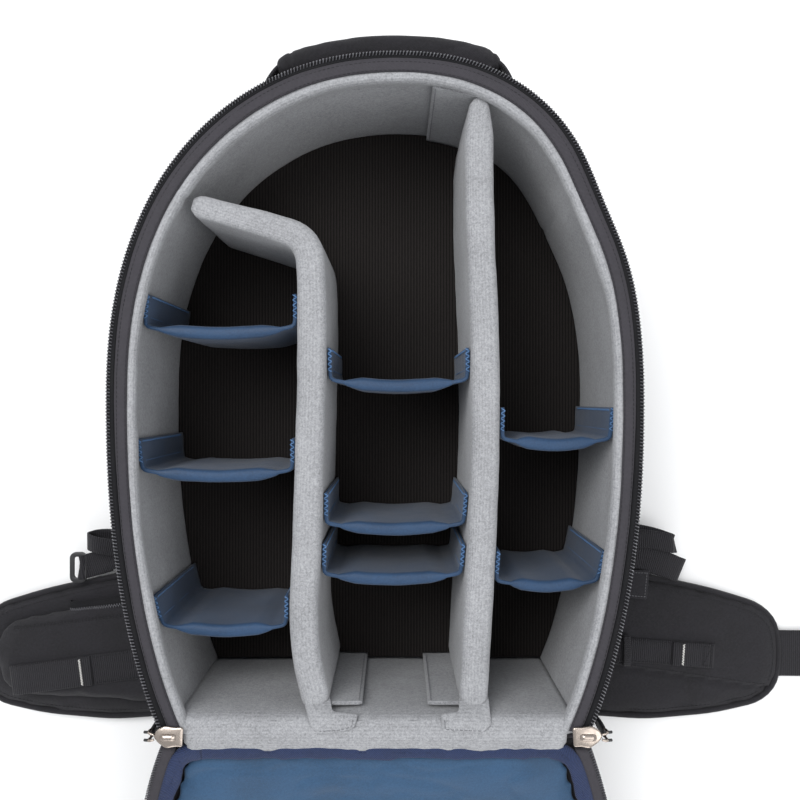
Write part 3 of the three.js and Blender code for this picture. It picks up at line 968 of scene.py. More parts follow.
def bottom_panel():
    """The shell's lower wall, behind the hinge."""
    low, high = node_box("bottom_shell")
    rings = []
    for i in range(41):
        share = -1 + 2 * i / 40
        x = share * high.x
        ring = [(x, high.y, low.z), (x, low.y, low.z)]
        for z in range(28, 162, 6):
            bulge = 0.5 * wobble(x, z, 0, 40, 4.1) * (1 - share ** 6)
            ring.append((x, low.y + 0.3 + bulge, z))
        ring += [(x, low.y, high.z), (x, high.y, high.z)]
        rings.append(ring)
    make("bottom_shell_cloth", *loft(rings), NYLON, "bag", ("bottom_shell",), "black_nylon")
    for x in (-96, 96):
        path = [(x, low.y - 0.4, z) for z in range(28, 160, 6)]
        stitches(f"bottom_stitches_{'left' if x < 0 else 'right'}", path, BLACK_THREAD, "bag", 3.4, 2.4, 0.3)


bottom_panel()

low, high = node_box("back_shell")
back_outline = [arch_point(i / 80, 2.9, WALL_END) for i in range(81)]
leaf("back_panel_cloth", back_outline, low.z, high.z, NYLON, "bag", ("back_shell",), "black_nylon", rings=18,
     shape=lambda p: (p.x, p.y, p.z + (0.25 * wobble(p.x, p.y, 0, 30, 2.2) if p.z < 23 else 0)))
repaint("stay_left", ALUMINIUM)
repaint("stay_right", ALUMINIUM)
repaint("frame_sheet", SHEET)


# ---- side pockets of stretch mesh ----
POCKET_SPAN = (0.04, 0.215)


def side_pocket(side, t0, t1):
    """A pocket that bellies a little and is gathered by elastic at its mouth."""
    low, high = node_box(f"side_pocket_{side}")
    count = 44
    rings, uvs, hem, base = [], [], [], []
    for i in range(count + 1):
        share = i / count
        t = t0 + (t1 - t0) * share
        ends = min(1, 12 * share * (1 - share)) ** 0.5
        ring = []
        for k in range(16):
            rise = k / 15
            z = low.z + (high.z - low.z) * rise
            belly = 2.2 + 5.8 * math.sin(math.pi * min(1, rise * 1.06)) ** 0.6 * ends
            pleat = 0.8 * math.sin(share * 52) * (0.25 + rise) * ends + 0.4 * wobble(share * 300, z, 0, 20,
                                                                                     1.7)
            ring.append((*arch_point(t, -(belly + pleat), WALL_END), z))
            uvs.append((share * 0.16, z * MM))
        for z in (high.z, low.z):
            ring.append((*arch_point(t, 0.2, WALL_END), z))
            uvs.append((share * 0.16, z * MM))
        rings.append(ring)
        hem.append(Vector(ring[15]))
        base.append(Vector(ring[0]))
    make(f"side_pocket_{side}_mesh", *loft(rings), STRETCH, "bag", (f"side_pocket_{side}",), "black_mesh",
         uvs=uvs)
    strip(f"side_pocket_{side}_hem", hem, 10, 2.0, WEBBING, "bag", across=(0, 0, 1))
    strip(f"side_pocket_{side}_base", base, 6, 1.6, CHARCOAL, "bag", across=(0, 0, 1))
    for name, t in (("lower", t0), ("upper", t1)):
        path = [(*arch_point(t, -1.9, WALL_END), z) for z in (low.z, (low.z + high.z) / 2, high.z)]
        strip(f"side_pocket_{side}_{name}_edge", path, 9, 2.6, CHARCOAL, "bag", across=(0, 1, 0))


side_pocket("left", *POCKET_SPAN)
side_pocket("right", 1 - POCKET_SPAN[1], 1 - POCKET_SPAN[0])


# ---- dividers ----
LONG_HALF = 9.6
LEFT_LINE = [(-39, -203.4), (-49, -158), (-46, -99), (-43, 0), (-42, 84), (-46, 108), (-70, 116),
             (-121.5, 130.5)]
RIGHT_LINE = [(65, -203.4), (69, -132), (73, -50), (74, 20), (69, 133), (69, 200)]
DIVIDER_FLOOR = FLOOR_Z + 0.9


def line_x(line, y):
    """Where a long divider's middle is at height y."""
    for (x0, y0), (x1, y1) in zip(line, line[1:]):
        if y0 <= y <= y1:
            return x0 + (x1 - x0) * (y - y0) / (y1 - y0)
    return line[-1][0] if y > line[-1][1] else line[0][0]


def wall_sweep(name, path, half, top, material, body, replaces=(), slot=None, belly=0.06, seed=0.0,
               round_top=1.0,
               rough=0.35, bottom=DIVIDER_FLOOR, step=3.2):
    """An upright padded leaf along a path in plan. half and top are functions of the share of the way."""
    points = [Vector((x, y, 0)) for x, y in path]
    points = resample(points, step)
    count = len(points) - 1
    rings, uvs = [], []
    run = lengths(points)
    for i, (p, d) in enumerate(zip(points, directions(points))):
        share = i / count
        side = Vector((d.y, -d.x, 0))
        a = half(share)
        crest = top(share)
        ends = min(run[i], run[-1] - run[i])
        a *= min(1.0, 0.55 + 0.45 * math.sqrt(min(1.0, ends / 4.5)))
        arc = min(a * round_top, 12)
        section = [(-0.92, bottom), (-1, bottom + 5)]
        section += [(-1, bottom + (crest - arc - bottom) * k / 9) for k in range(1, 10)]
        section += [(-math.cos(w) ** 0.75, crest - arc + arc * math.sin(w) ** 0.8) for w in
                    (math.pi * k / 14 for k in (1, 2, 3, 4, 5, 6))]
        section += [(0, crest)]
        section += [(-u, z) for u, z in reversed(section[:-1])]
        ring = []
        for u, z in section:
            high = (z - bottom) / (crest - bottom)
            swell = 1 + belly * math.sin(math.pi * min(1, high * 1.1))
            dent = rough * wobble(run[i], z, u * 9, 34, seed) + rough * 0.5 * wobble(run[i], z, u * 5, 11,
                                                                                     seed + 3)
            q = p + side * (u * a * swell + dent * (1 if u > 0 else -1) * min(1, abs(u) * 2))
            rise = rough * 1.2 * wobble(run[i], u * 6, 0, 22, seed + 7) if high > 0.9 else 0
            ring.append((q.x, q.y, z + rise))
            uvs.append((run[i] * MM, (z + u * a) * MM))
        rings.append(ring)
    piece = make(name, *loft(rings), material, body, replaces, slot, uvs=uvs)
    return piece


def flap_seam(name, path, material, body, width=1.7, pitch=1.5, radius=0.24):
    """The zigzag stitching that closes a flap's edge."""
    points = resample(path, pitch)
    d = (points[-1] - points[0]).normalized()
    side = Vector((0, 0, 1)) if abs(d.z) < 0.7 else Vector((0, 1, 0))
    corners = [p + side * (width / 2 if i % 2 else -width / 2) for i, p in enumerate(points)]
    parts = [capsule(a, b, radius) for a, b in zip(corners, corners[1:])]
    return make(name, *merged(parts), material, body)


left_path = smooth_path([Vector((x, y, 0)) for x, y in LEFT_LINE], 3.2, 3)
wall_sweep(
    "long_divider_left_pad", [(p.x, p.y) for p in left_path],
    lambda s: LONG_HALF - 2.2 * max(0, (s - 0.80) / 0.20),
    lambda s: 165.3 - 3 * max(0, (s - 0.88) / 0.12) - 1.5 * max(0, (0.06 - s) / 0.06),
    GREY, "long_divider_left", ("long_divider_left",), "grey_lining", 0.03, 11.0, 0.72, 0.45)
right_path = smooth_path([Vector((x, y, 0)) for x, y in RIGHT_LINE], 3.2, 3)
wall_sweep(
    "long_divider_right_pad", [(p.x, p.y) for p in right_path],
    lambda s: LONG_HALF - 3.2 * max(0, (s - 0.94) / 0.06),
    lambda s: 165.3 - 1.6 * max(0, (s - 0.93) / 0.07) - 1.5 * max(0, (0.06 - s) / 0.06),
    GREY, "long_divider_right", ("long_divider_right",), "grey_lining", 0.03, 21.0, 0.72, 0.45)


def long_flap(name, path, body, top):
    """An unpadded end flap with a zigzag edge; the hook tape behind it is not made here."""
    flap = wall_sweep(name, path, lambda s: 1.4, lambda s: top - 2.5 * s, GREY, body, (), "grey_lining", 0.0,
                      31.0, 1.0, 0.18, bottom=DIVIDER_FLOOR + 4, step=2.0)
    end = Vector((*path[-1], 0))
    back = (Vector((*path[-2], 0)) - end).normalized()
    upright = [end + back * 2.2 + Vector((0, 1.7, z)) for z in (44, top - 3)]
    flap_seam(f"{name}_seam", [p - Vector((0, 3.4, 0)) if end.y > 0 else p for p in upright], GREY_THREAD,
              body)
    along = [Vector((*path[0], top - 0.5)), Vector((*path[-1], top - 2.6))]
    flap_seam(f"{name}_hem", along, GREY_THREAD, body, 1.4, 1.6)
    return flap


long_flap("long_divider_left_flap", [(-38, -202.4), (-31, -203.2), (-20, -203.4), (-9, -203.3)],
          "long_divider_left", 158)
long_flap("long_divider_right_flap", [(64, -202.4), (57, -203.2), (46, -203.4), (35, -203.3)],
          "long_divider_right", 158)


def folded_over(name, outline, body, hem):
    """The end of a flap that is longer than the lower wall is tall, folded over that wall's top."""
    leaf(f"{name}_fold", outline, 170.9, 173.0, GREY, body, (), "grey_lining", rings=8, soft=1.2,
         shape=lambda p: (p.x, p.y, p.z + 0.3 * wobble(p.x, p.y, 0, 12, 6.3) - 0.09 * max(0, p.y + 212) ** 2))
    row = [Vector((x, y, 173.1 + 0.3 * wobble(x, y, 0, 12, 6.3))) for x, y in hem]
    flap_seam(f"{name}_fold_seam", row, GREY_THREAD, body, 1.4, 1.5)


folded_over("long_divider_left", rounded([(-49, -198), (-31, -198), (-28, -205), (-11, -206), (-13.5, -214),
                                          (-22, -217), (-37, -218), (-42, -213)], 2, 3), "long_divider_left",
            [(-14.4, -208.5), (-15.2, -213), (-22.4, -215.2), (-36, -216)])
folded_over("long_divider_right", rounded([(75.5, -198), (56, -198), (55, -205), (43, -206), (44, -216.5),
                                           (70, -217.5),
                                           (76, -212)], 2, 3),
            "long_divider_right", [(45.4, -209), (45.8, -214.8), (69.6, -215.8)])


def under_top_wall(x):
    """The y of the top wall's inner face above x."""
    y = TOP - WALL_FACE
    for _ in range(8):
        share = abs(x - lean(y, WALL_FACE) + pulled_in(y)) / (HALF - WALL_FACE)
        y = (TOP - WALL_FACE) * (1 - share ** SQUARENESS) ** (1 / SQUARENESS)
    return y


top_flap = [(x, under_top_wall(x) - 3.0) for x in (68, 62, 56, 50, 44, 38)]
long_flap("long_divider_right_top_flap", top_flap, "long_divider_right", 163)

CROSS = {
    "divider_left_upper": ("left", 45), "divider_left_middle": ("left", -52),
    "divider_left_lower": ("left", -157),
    "divider_middle_upper": ("middle", 9), "divider_middle_middle": ("middle", -88),
    "divider_middle_lower": ("middle", -122),
    "divider_right_upper": ("right", -31), "divider_right_lower": ("right", -127),
}
FLAP_REACH = 26


def column_sides(column, y):
    """The faces that a cross divider's flaps lie against, at height y."""
    wall = half_width(y, WALL_FACE + 0.8)
    shift = lean(y, WALL_FACE)
    if column == "left":
        return shift - wall, line_x(LEFT_LINE[:5], y) - LONG_HALF - 0.5
    if column == "middle":
        return line_x(LEFT_LINE[:5], y) + LONG_HALF + 0.5, line_x(RIGHT_LINE, y) - LONG_HALF - 0.5
    return line_x(RIGHT_LINE, y) + LONG_HALF + 0.5, shift - pulled_in(y) + wall


def cross_divider(name, column, y, seed):
    """A blue pillow across a bay: thin where it bends into the two flaps that stick to the faces beside it."""
    def side_point(i, dy, off):
        return column_sides(column, y + dy)[i] + (off if i == 0 else -off)

    corner = 5.0
    bow = 3.2
    middle = (side_point(0, 3, 0) + side_point(1, 3, 0)) / 2
    path = [(side_point(0, FLAP_REACH, 1.6), y + FLAP_REACH), (side_point(0, 18, 1.7), y + 18),
            (side_point(0, 9, 1.9), y + 9.5), (side_point(0, 4, 3.2), y + 5.2),
            (side_point(0, 2, corner + 5), y + 3.4), (side_point(0, 2, corner + 14), y + 3.6 - bow * 0.45),
            (middle, y + 3.6 - bow),
            (side_point(1, 2, corner + 14), y + 3.6 - bow * 0.45), (side_point(1, 2, corner + 5), y + 3.4),
            (side_point(1, 4, 3.2), y + 5.2), (side_point(1, 9, 1.9), y + 9.5),
            (side_point(1, 18, 1.7), y + 18), (side_point(1, FLAP_REACH, 1.6), y + FLAP_REACH)]
    smooth = catmull([Vector((a, b, 0)) for a, b in path], 6)
    total = lengths(smooth)[-1]
    leaf_share = (FLAP_REACH + 4) / total
    lip_top = 151.5

    def half(s):
        inward = (min(s, 1 - s) - leaf_share) / (0.5 - leaf_share)
        if inward < 0:
            return 1.35
        return 1.5 + 2.9 * min(1, inward * 3.2) ** 0.8

    def top(s):
        out = min(s, 1 - s) / leaf_share
        if out < 1:
            return lip_top + 6.0 * (1 - out) ** 0.8 - 1.8 * math.sin(math.pi * out)
        return lip_top + 0.6 * wobble(s * 200, seed, 0, 26, seed)

    body = wall_sweep(f"{name}_pad", [(p.x, p.y) for p in smooth], half, top, BLUE, name, (name,),
                      "blue_nylon",
                      0.12, seed, 1.0, 0.4, step=2.0)
    for i in (0, 1):
        x0, x1 = side_point(i, FLAP_REACH, 3.1), side_point(i, 11, 3.3)
        hem = [Vector((x0, y + FLAP_REACH - 1.6, 44)), Vector((x0, y + FLAP_REACH - 1.6, 152))]
        flap_seam(f"{name}_seam_{'ab'[i]}", hem, BLUE_THREAD, name, 1.5, 1.5, 0.22)
        edge = [Vector((side_point(i, dy, 1.75), y + dy, lip_top + 6.1 - 0.26 * (FLAP_REACH - dy))) for dy in
                (FLAP_REACH - 0.5, 22, 18, 14, 10)]
        points = resample(edge, 1.7)
        corners = [p + Vector((1.5 if k % 2 else -1.5, 0, 0)) for k, p in enumerate(points)]
        make(f"{name}_overlock_{'ab'[i]}", *merged([capsule(a, b, 0.4) for a, b in zip(corners,
                                                                                       corners[1:])]),
             BLUE_THREAD, name)
        inner = [Vector((x1, y + 11, 44)), Vector((x1, y + 11, 146))]
        flap_seam(f"{name}_fold_{'ab'[i]}", inner, BLUE_THREAD, name, 0.5, 2.4, 0.2)
    return body


for number, (name, (column, y)) in enumerate(CROSS.items()):
    cross_divider(name, column, y, 40.0 + 3.7 * number)


# ---- front panel: made closed, then turned open about its hinge ----
joints = {joint["name"]: joint for joint in frame["record"]["behaviour"]["joints"]}
lid_joint = joints["lid_hinge"]
HINGE = Vector(lid_joint["pos_m"])
OPEN_ANGLE = -math.radians(lid_joint["range_deg"][0])
OPENED = Matrix.Translation(HINGE) @ Matrix.Rotation(OPEN_ANGLE, 4, "X") @ Matrix.Translation(-HINGE)
HINGE_Y = HINGE.y / MM
LID_BACK = 190  # closed, the shell's outer face


def lid_loop(inset_mm, start, corner=14, step=4.0):
    """The closed outline of the front panel at an inset, with its two hinge corners rounded."""
    lower = HINGE_Y + start
    shares, total = even_shares(step, inset_mm, lower)
    points = [Vector(arch_point(t, inset_mm, lower)) for t in shares]
    run = [total * i / (len(points) - 1) for i in range(len(points))]
    kept = [p for p, r in zip(points, run) if corner < r < total - corner]
    first, last = points[0], points[-1]
    base = [first + Vector((corner, 0)), last - Vector((corner, 0))]

    def bend(a, c, b):
        return [a * (1 - t) ** 2 + c * 2 * t * (1 - t) + b * t * t for t in (0, 0.2, 0.4, 0.6, 0.8)]

    count = round((base[1].x - base[0].x) / step)
    side = [base[1].lerp(base[0], i / count) for i in range(count)]
    loop = bend(base[0], first, kept[0]) + kept + bend(kept[-1], last, base[1])[1:] + side
    return [tuple(p) for p in loop]


def lid_fold(x, y):
    """How far the lining is pushed in or out by its folds: soft ones that run in from the hinge corners."""
    near = math.exp(-((y - HINGE_Y - 14) / 52) ** 2)
    lean = (y - HINGE_Y) * 0.55 * math.copysign(1, x)
    a = 1 - abs(wobble(x * 0.55 - lean * 0.5, y * 1.5, 0, 24, 2.2)) * 2
    b = wobble(x, y * 2.4, 0, 46, 5.1)
    return near * (2.2 * a ** 3 + 1.7 * b) + 0.8 * wobble(x, y, 0, 70, 9.4)


def lining_shape(p, n):
    z = p.z
    if n.z < -0.2:
        z += lid_fold(p.x, p.y) * min(1.0, -n.z)
    return Vector((p.x, p.y, min(183.8, max(174.6, z))))


pad("lid_lining_pad", lid_loop(15.5, 14.5, 10), 178.2, 183.2, LID_BLUE, "lid", ("lid_lining",),
    voxel=5.0, cap=3.5, after=lining_shape, matrix=OPENED)


def lid_lip():
    """The slate binding that turns over the lining's edge, gathered into waves along its inner side."""
    loop = [Vector((x, y, 0)) for x, y in lid_loop(11.4, 10.6, 13, 1.6)]
    n = len(loop)
    total = lengths(loop + [loop[0]])
    rings, uvs = [], []
    for i, p in enumerate(loop):
        d = (loop[(i + 1) % n] - loop[i - 1]).normalized()
        inward = Vector((d.y, -d.x, 0))
        run = total[i]
        wave = 2.0 * wobble(run, 0, 0, 17, 3.3) + 0.7 * wobble(run, 0, 0, 5.5, 7.3)
        lift = 0.7 * wobble(run, 1, 0, 9, 1.1)
        wide = 7.2 if p.y < HINGE_Y + 16 else 6.8
        section = [(-3.9, 178.5), (-4.0, 176.4), (-3.2, 175.1), (-1.2, 174.4 + 0.3 * lift),
                   (1.2, 174.0 + lift),
                   (wide - 2.2 + wave, 173.7 + lift), (wide - 0.8 + wave, 174.1 + lift),
                   (wide + wave, 175.0 + lift),
                   (wide - 0.4 + wave, 175.9), (wide - 2 + wave, 176.6), (0.5, 178.5)]
        ring = [p + inward * u + Vector((0, 0, z)) for u, z in section]
        rings.append(ring)
        uvs += [(run * MM, u * MM) for u, z in section]
    make("lid_lip", *loft(rings, closed=True), SLATE, "lid", slot="blue_nylon", matrix=OPENED, uvs=uvs)
    row = [p + Vector(((loop[(i + 1) % n] - loop[i - 1]).normalized().y,
                       -(loop[(i + 1) % n] - loop[i - 1]).normalized().x, 0)) * 1.9 + Vector((0, 0, 174.1))
           for i, p in enumerate(loop)]
    stitches("lid_lip_stitches", row, SLATE, "lid", 3.2, 2.2, 0.24, matrix=OPENED)


lid_lip()

LID_TAPE_START = 12
tape_profile = [(1.0, 184.2), (0.7, 179.5), (0.6, 177.2), (1.4, 176.4), (3.0, 176.2), (6.4, 176.1),
                (8.6, 176.5),
                (8.9, 177.6), (8.6, 181), (7.5, 184.0)]
rim_sweep("lid_binding_tape", tape_profile, CHARCOAL, "lid", HINGE_Y + LID_TAPE_START, 3.2,
          lambda t, run, d, z: (d, z + (0.2 * wobble(run, d, 0, 9, 3.2) if z < 177 else 0)),
          ("lid_binding",), OPENED, "charcoal_binding")
teeth("lid_zipper_teeth", 0.1, 176.9, HINGE_Y + LID_TAPE_START + 1, "lid", OPENED, ("lid_zipper_chain",))

shell_outline = lid_loop(1.3, 8.9, 9, 5.0)


def lid_shell_shape(p):
    if p.z > 187:
        away = min(1.0, (HALF - math.hypot(p.x, (p.y + 10) * 0.8)) / 60)
        return (p.x, p.y, p.z - 0.9 + 0.7 * wobble(p.x, p.y, 0, 60, 4.4) * away)
    return tuple(p)


leaf("lid_shell_cloth", shell_outline, 184.3, LID_BACK, NYLON, "lid", ("lid_shell",), "black_nylon", OPENED,
     lid_shell_shape, 16, 2.4)
edge_cord("lid_piping", lid_loop(0.9, 8.6, 9, 4.0), 186.9, 2.1, CHARCOAL, "lid", OPENED)

pocket_y0, pocket_y1 = HINGE_Y + 62, HINGE_Y + 398
POCKET_ZIP_Y = 101


def front_pocket_shape(p, n):
    z = p.z
    if z > 196:
        z += 1.3 * wobble(p.x, p.y, 0, 64, 1.5) + 0.5 * wobble(p.x, p.y, 0, 22, 6.5)
        for x in (-78, 78):
            z -= 3.0 * math.exp(-((p.x - x) / 2.4) ** 2) * (1 if p.y < POCKET_ZIP_Y - 14 else 0)
        band = min(1.0, max(0.0, (abs(p.y - POCKET_ZIP_Y) - 10) / 12))
        z = min(z, 211.6) if band >= 1 else z * band + 210.2 * (1 - band) if abs(p.x) < 100 else z
    return Vector((p.x, p.y, min(213.5, max(190.4, z))))


front = pad("front_pocket_cloth", rounded(rectangle(-118, 118, pocket_y0, pocket_y1), 44), 192.5, 207, NYLON,
            "lid", ("front_pocket",), voxel=6.0, cap=5.5, after=front_pocket_shape)
front_face = Surface(front)
front.data.transform(OPENED)
zip_line = [front_face.drop(x, POCKET_ZIP_Y, 0.4) for x in range(-98, 99, 4)]
strip("front_pocket_zip_tape", zip_line, 20, 1.2, TAPE, "lid", matrix=OPENED)
coil_rows("front_pocket_zip_coil", [p + Vector((0, 0, 0.9)) for p in zip_line], "lid", matrix=OPENED)
for offset, label in ((-8.6, "lower"), (8.6, "upper")):
    row = [front_face.drop(x, POCKET_ZIP_Y + offset, 1.25) for x in range(-96, 97, 4)]
    stitches(f"front_pocket_stitches_{label}", row, BLACK_THREAD, "lid", 3.2, 2.3, 0.28, matrix=OPENED)
for x, label in ((-81.5, "left"), (81.5, "right")):
    row = [front_face.drop(x, y, 0.15) for y in range(-118, 84, 5)]
    stitches(f"front_pocket_seam_{label}", row, BLACK_THREAD, "lid", 3.4, 2.4, 0.3, matrix=OPENED)
pocket_rim = rounded(rectangle(-121, 121, pocket_y0 - 3, pocket_y1 + 3), 46)
edge_cord("front_pocket_piping", pocket_rim, 191.6, 1.9, CHARCOAL, "lid", OPENED)

inner_outline = rounded(rectangle(-115, 115, -18, 146), 28)


def inner_pocket_shape(p):
    lean = 0.5 * wobble(p.x, p.y, 0, 40, 7.7)
    return (p.x, p.y, p.z + (lean if p.z < 175 else 0.2 * lean))


leaf("lid_inner_pocket_cloth", inner_outline, 173.9, 175.7, BLUE, "lid", ("lid_inner_pocket",), "blue_nylon",
     OPENED, inner_pocket_shape, 14, 0.9)
strip("lid_inner_pocket_hem", [(x, 140, 173.4) for x in range(-96, 97, 6)], 12, 1.4, SLATE, "lid",
      matrix=OPENED)
edge_cord("lid_inner_pocket_binding", inner_outline, 174.7, 1.3, SLATE, "lid", OPENED)


# ---- fabric across the hinge ----
def hinge_cloth(name, path, half, thick, material, slot, replaces, ripple):
    """A soft strip along the hinge; path is in the YZ plane and half gives its half length at each y."""
    line = smooth_path([Vector((0, y, z)) for y, z in path], 1.4, 2)
    rings, uvs = [], []
    run = lengths(line)
    count = 84
    for i in range(count + 1):
        share = -1 + 2 * i / count
        top, under = [], []
        for p, d, at in zip(line, directions(line), run):
            up = Vector((0, -d.z, d.y)) if d.y < 0 else Vector((0, d.z, -d.y))
            up = up if up.z >= 0 else -up
            x = share * half(p.y)
            wave = ripple * (wobble(x, at, 0, 26, 5.9) + 0.5 * wobble(x, at, 0, 9, 2.9))
            edge = 1 if abs(share) < 0.985 else 0.35
            top.append((x, *(p + up * (thick / 2 * edge + wave)).yz))
            under.append((x, *(p - up * (thick / 2 * edge - wave)).yz))
            uvs.append((x * MM, at * MM))
        uvs += list(reversed(uvs[-len(line):]))
        rings.append(top + under[::-1])
    piece = make(name, *loft(rings), material, None, replaces, slot, uvs=uvs)
    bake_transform(piece)
    return piece


hinge_cloth("hinge_lining", [(-211.0, 167.6), (-214, 169.6), (-218, 170.7), (-221.5, 170.0), (-225, 167.9),
                             (-228.6, 165.8), (-231, 164.8)],
            lambda y: min(half_width(-219, 11.5), 124 + max(0, y + 227) * 0.9), 2.4, GREY, "grey_lining", (),
            0.5)
hinge_cloth("hinge_gusset", [(-219.8, 152), (-220.2, 159), (-221.0, 163.6), (-222.4, 165.4), (-223.9, 164.2),
                             (-225.2, 160), (-226.0, 155.5)],
            lambda y: 123, 1.6, NYLON, "charcoal_binding", ("lid_hinge_strip",),
            0.3)


# ---- main sliders and their pulls ----
def slider_shield(side):
    """A pressed nickel shield with a raised bridge, seen from the front; the slider's own body is below it."""
    s = -1 if side == "left" else 1
    low, high = node_box(f"zipper_slider_{side}")
    cx, cy, z = (low.x + high.x) / 2, (low.y + high.y) / 2, low.z
    outline = [(-9.6, 6.2), (-8.9, -6.6), (-4.5, -6.1), (1.6, -7.4), (7.2, -3.4), (10.2, 0.6), (7.4, 4.8),
               (2.6, 7.4),
               (-3.6, 6.3)]
    if s < 0:
        outline = [(-u, v) for u, v in outline]
    outer = rounded([(cx + u, cy + v) for u, v in outline], 1.6, 3)

    def crowned(p):
        r = math.hypot((p.x - cx) / 10, (p.y - cy) / 7.5)
        return (p.x, p.y, p.z + (0.9 * (1 - min(1, r) ** 2) if p.z > z + 1 else 0))

    plate = leaf(f"slider_{side}_plate", outer, z + 0.2, z + 1.9, NICKEL, f"zipper_slider_{side}",
                 (f"zipper_slider_{side}",), "nickel", None, crowned, 6, 0.7)
    plate.data.set_sharp_from_angle(angle=math.radians(50))
    rings = []
    for k in range(17):
        u = -5.2 + 11.4 * k / 16
        rise = math.sin(math.pi * min(1, (k + 0.6) / 10)) if k < 5 else 1.0 if k < 12 else (16.6 - k) / 4.6
        rise = max(0.06, min(1.0, rise))
        half = 2.5 * (0.55 + 0.45 * math.sqrt(min(1, k / 3, (16 - k) / 3 + 0.1)))
        ring = []
        for j in range(9):
            w = math.pi * j / 8
            ring.append((cx + s * u, cy + half * math.cos(w), z + 1.9 + 2.5 * rise * math.sin(w) ** 0.8))
        ring += [(cx + s * u, cy - half * 0.9, z + 1.0), (cx + s * u, cy + half * 0.9, z + 1.0)]
        rings.append(ring)
    make(f"slider_{side}_bridge", *loft(rings), NICKEL, f"zipper_slider_{side}", slot="nickel")
    below = leaf(f"slider_{side}_lower_plate", inset(outer, 1.2), z - 2.9, z - 1.6, NICKEL,
                 f"zipper_slider_{side}", (), "nickel", None, None, 5, 0.5)
    below.data.set_sharp_from_angle(angle=math.radians(50))
    core = [(cx + s * 4 + 1.4 * math.cos(a),
             cy + 4.5 * math.sin(a)) for a in (math.pi * k / 8 for k in range(16))]
    leaf(f"slider_{side}_core", core, z - 1.8, z + 0.6, NICKEL, f"zipper_slider_{side}", (), "nickel", None,
         None, 3, 0.3)


def slider_pull(side):
    """A nickel bail through the bridge and a moulded tab that hangs outside the zipper."""
    s = -1 if side == "left" else 1
    low, high = node_box(f"zipper_pull_{side}")
    cx, cy = (low.x + high.x) / 2, (low.y + high.y) / 2
    body = f"zipper_pull_{side}"
    for offset, label in ((-2.6, "a"), (2.6, "b")):
        path = catmull([(cx - s * 3.4, cy + offset * 0.6, 175.6), (cx - s * 0.8, cy + offset * 0.9, 175.4),
                        (cx + s * 0.7, cy + offset, 173.4), (cx + s * 0.4, cy + offset, 169.4),
                        (cx, cy + offset * 0.8, 166.2)], 5)
        tube(f"pull_{side}_bail_{label}", path, 0.85, NICKEL, body)
        tube(f"pull_{side}_tip_{label}", [(cx + s * 0.6, cy + offset, 173.9), (cx + s * 2.6, cy + offset,
                                                                               173.5),
                                          (cx + s * 3.3, cy + offset, 173.2)], 1.0, PLASTIC, body)
    cross = [(cx, cy - 2.9, 167.0), (cx, cy, 166.7), (cx, cy + 2.9, 167.0)]
    tube(f"pull_{side}_bail_foot", cross, 0.9, NICKEL, body)
    rings = []
    for k in range(19):
        share = k / 18
        z = 168.4 - 38.0 * share
        half = 2.7 + 0.8 * math.sin(math.pi * min(1, share * 1.4)) - 1.6 * max(0, (share - 0.9) / 0.1) ** 2
        thick = (1.5 - 0.25 * (math.cos(share * 50) if 0.3 < share < 0.85 else 0)
                 - 0.5 * max(0, (0.1 - share) / 0.1))
        ring = []
        for j in range(14):
            w = 2 * math.pi * j / 14
            px, py = math.cos(w), math.sin(w)
            ring.append((cx + thick * math.copysign(abs(px) ** 0.6, px),
                         cy + half * math.copysign(abs(py) ** 0.6, py),
                         z))
        rings.append(ring)
    make(f"pull_{side}_tab", *loft(rings), PLASTIC, body, (body,), "black_plastic")


for side in ("left", "right"):
    slider_shield(side)
    slider_pull(side)


def small_slider(node, body, along, lift, matrix=None, name="slider"):
    """A pocket's slider: a nickel body with its bridge and a short cord pull that lies along the zipper."""
    low, high = node_box(node)
    centre = (low + high) / 2
    if matrix:
        centre = matrix.inverted() @ (centre * MM) / MM
    d = Vector(along).normalized()
    side = Vector((-d.y, d.x, 0))
    z = lift

    def at(u, v, w):
        return tuple(Vector((centre.x, centre.y, z)) + d * u + side * v + Vector((0, 0, w)))

    outline = [(-5.6, -2.2), (-3.5, -3.6), (3.8, -3.0), (5.8, -1.6), (5.8, 1.6), (3.8, 3.0), (-3.5, 3.6),
               (-5.6, 2.2)]
    plan = rounded([at(u, v, 0)[:2] for u, v in outline], 1.0, 3)
    base = leaf(f"{name}_plate", plan, z, z + 1.5, NICKEL, body, (node,), "nickel", matrix, None, 5, 0.5)
    base.data.set_sharp_from_angle(angle=math.radians(50))
    bridge = [Vector(at(u, 0, 1.3 + 2.0 * math.sin(math.pi * k / 8) ** 0.6)) for k, u in
              enumerate([-4.2 + 8.4 * k / 8 for k in range(9)])]
    strip(f"{name}_bridge", bridge, 2.6, 1.0, NICKEL, body, tuple(side), matrix=matrix, step=1.0)
    cord = catmull([at(-1.5, 0, 2.5), at(-6, 0.9, 2.6), at(-13, 1.5, 1.9), at(-22, 1.2, 1.6),
                    at(-24.5, 0, 1.6),
                    at(-22, -1.2, 1.6), at(-13, -1.5, 1.9), at(-6, -0.9, 2.6), at(-1.5, 0, 2.5)], 5)
    tube(f"{name}_cord", cord, 0.85, BLACK_THREAD, body, matrix=matrix)
    tube(f"{name}_sleeve", catmull([at(-17, 0, 1.9), at(-20, 0, 2.0), at(-24, 0, 1.9), at(-27, 0, 1.7)], 4),
         1.9,
         PLASTIC, body, 10, matrix=matrix)


zip_z = front_face.drop(-86, POCKET_ZIP_Y).z
small_slider("front_pocket_slider", "front_pocket_slider", (1, 0, 0), zip_z + 2.2, OPENED,
             "front_pocket_slider")


# ---- grab handle ----
SLEEVE_SPAN = (0.4417, 0.5532)
HANDLE_LOW, HANDLE_STAND, HANDLE_FROM, HANDLE_BEND, HANDLE_SHIFT = -3.0, -23.0, 0.421, 0.03, -0.002


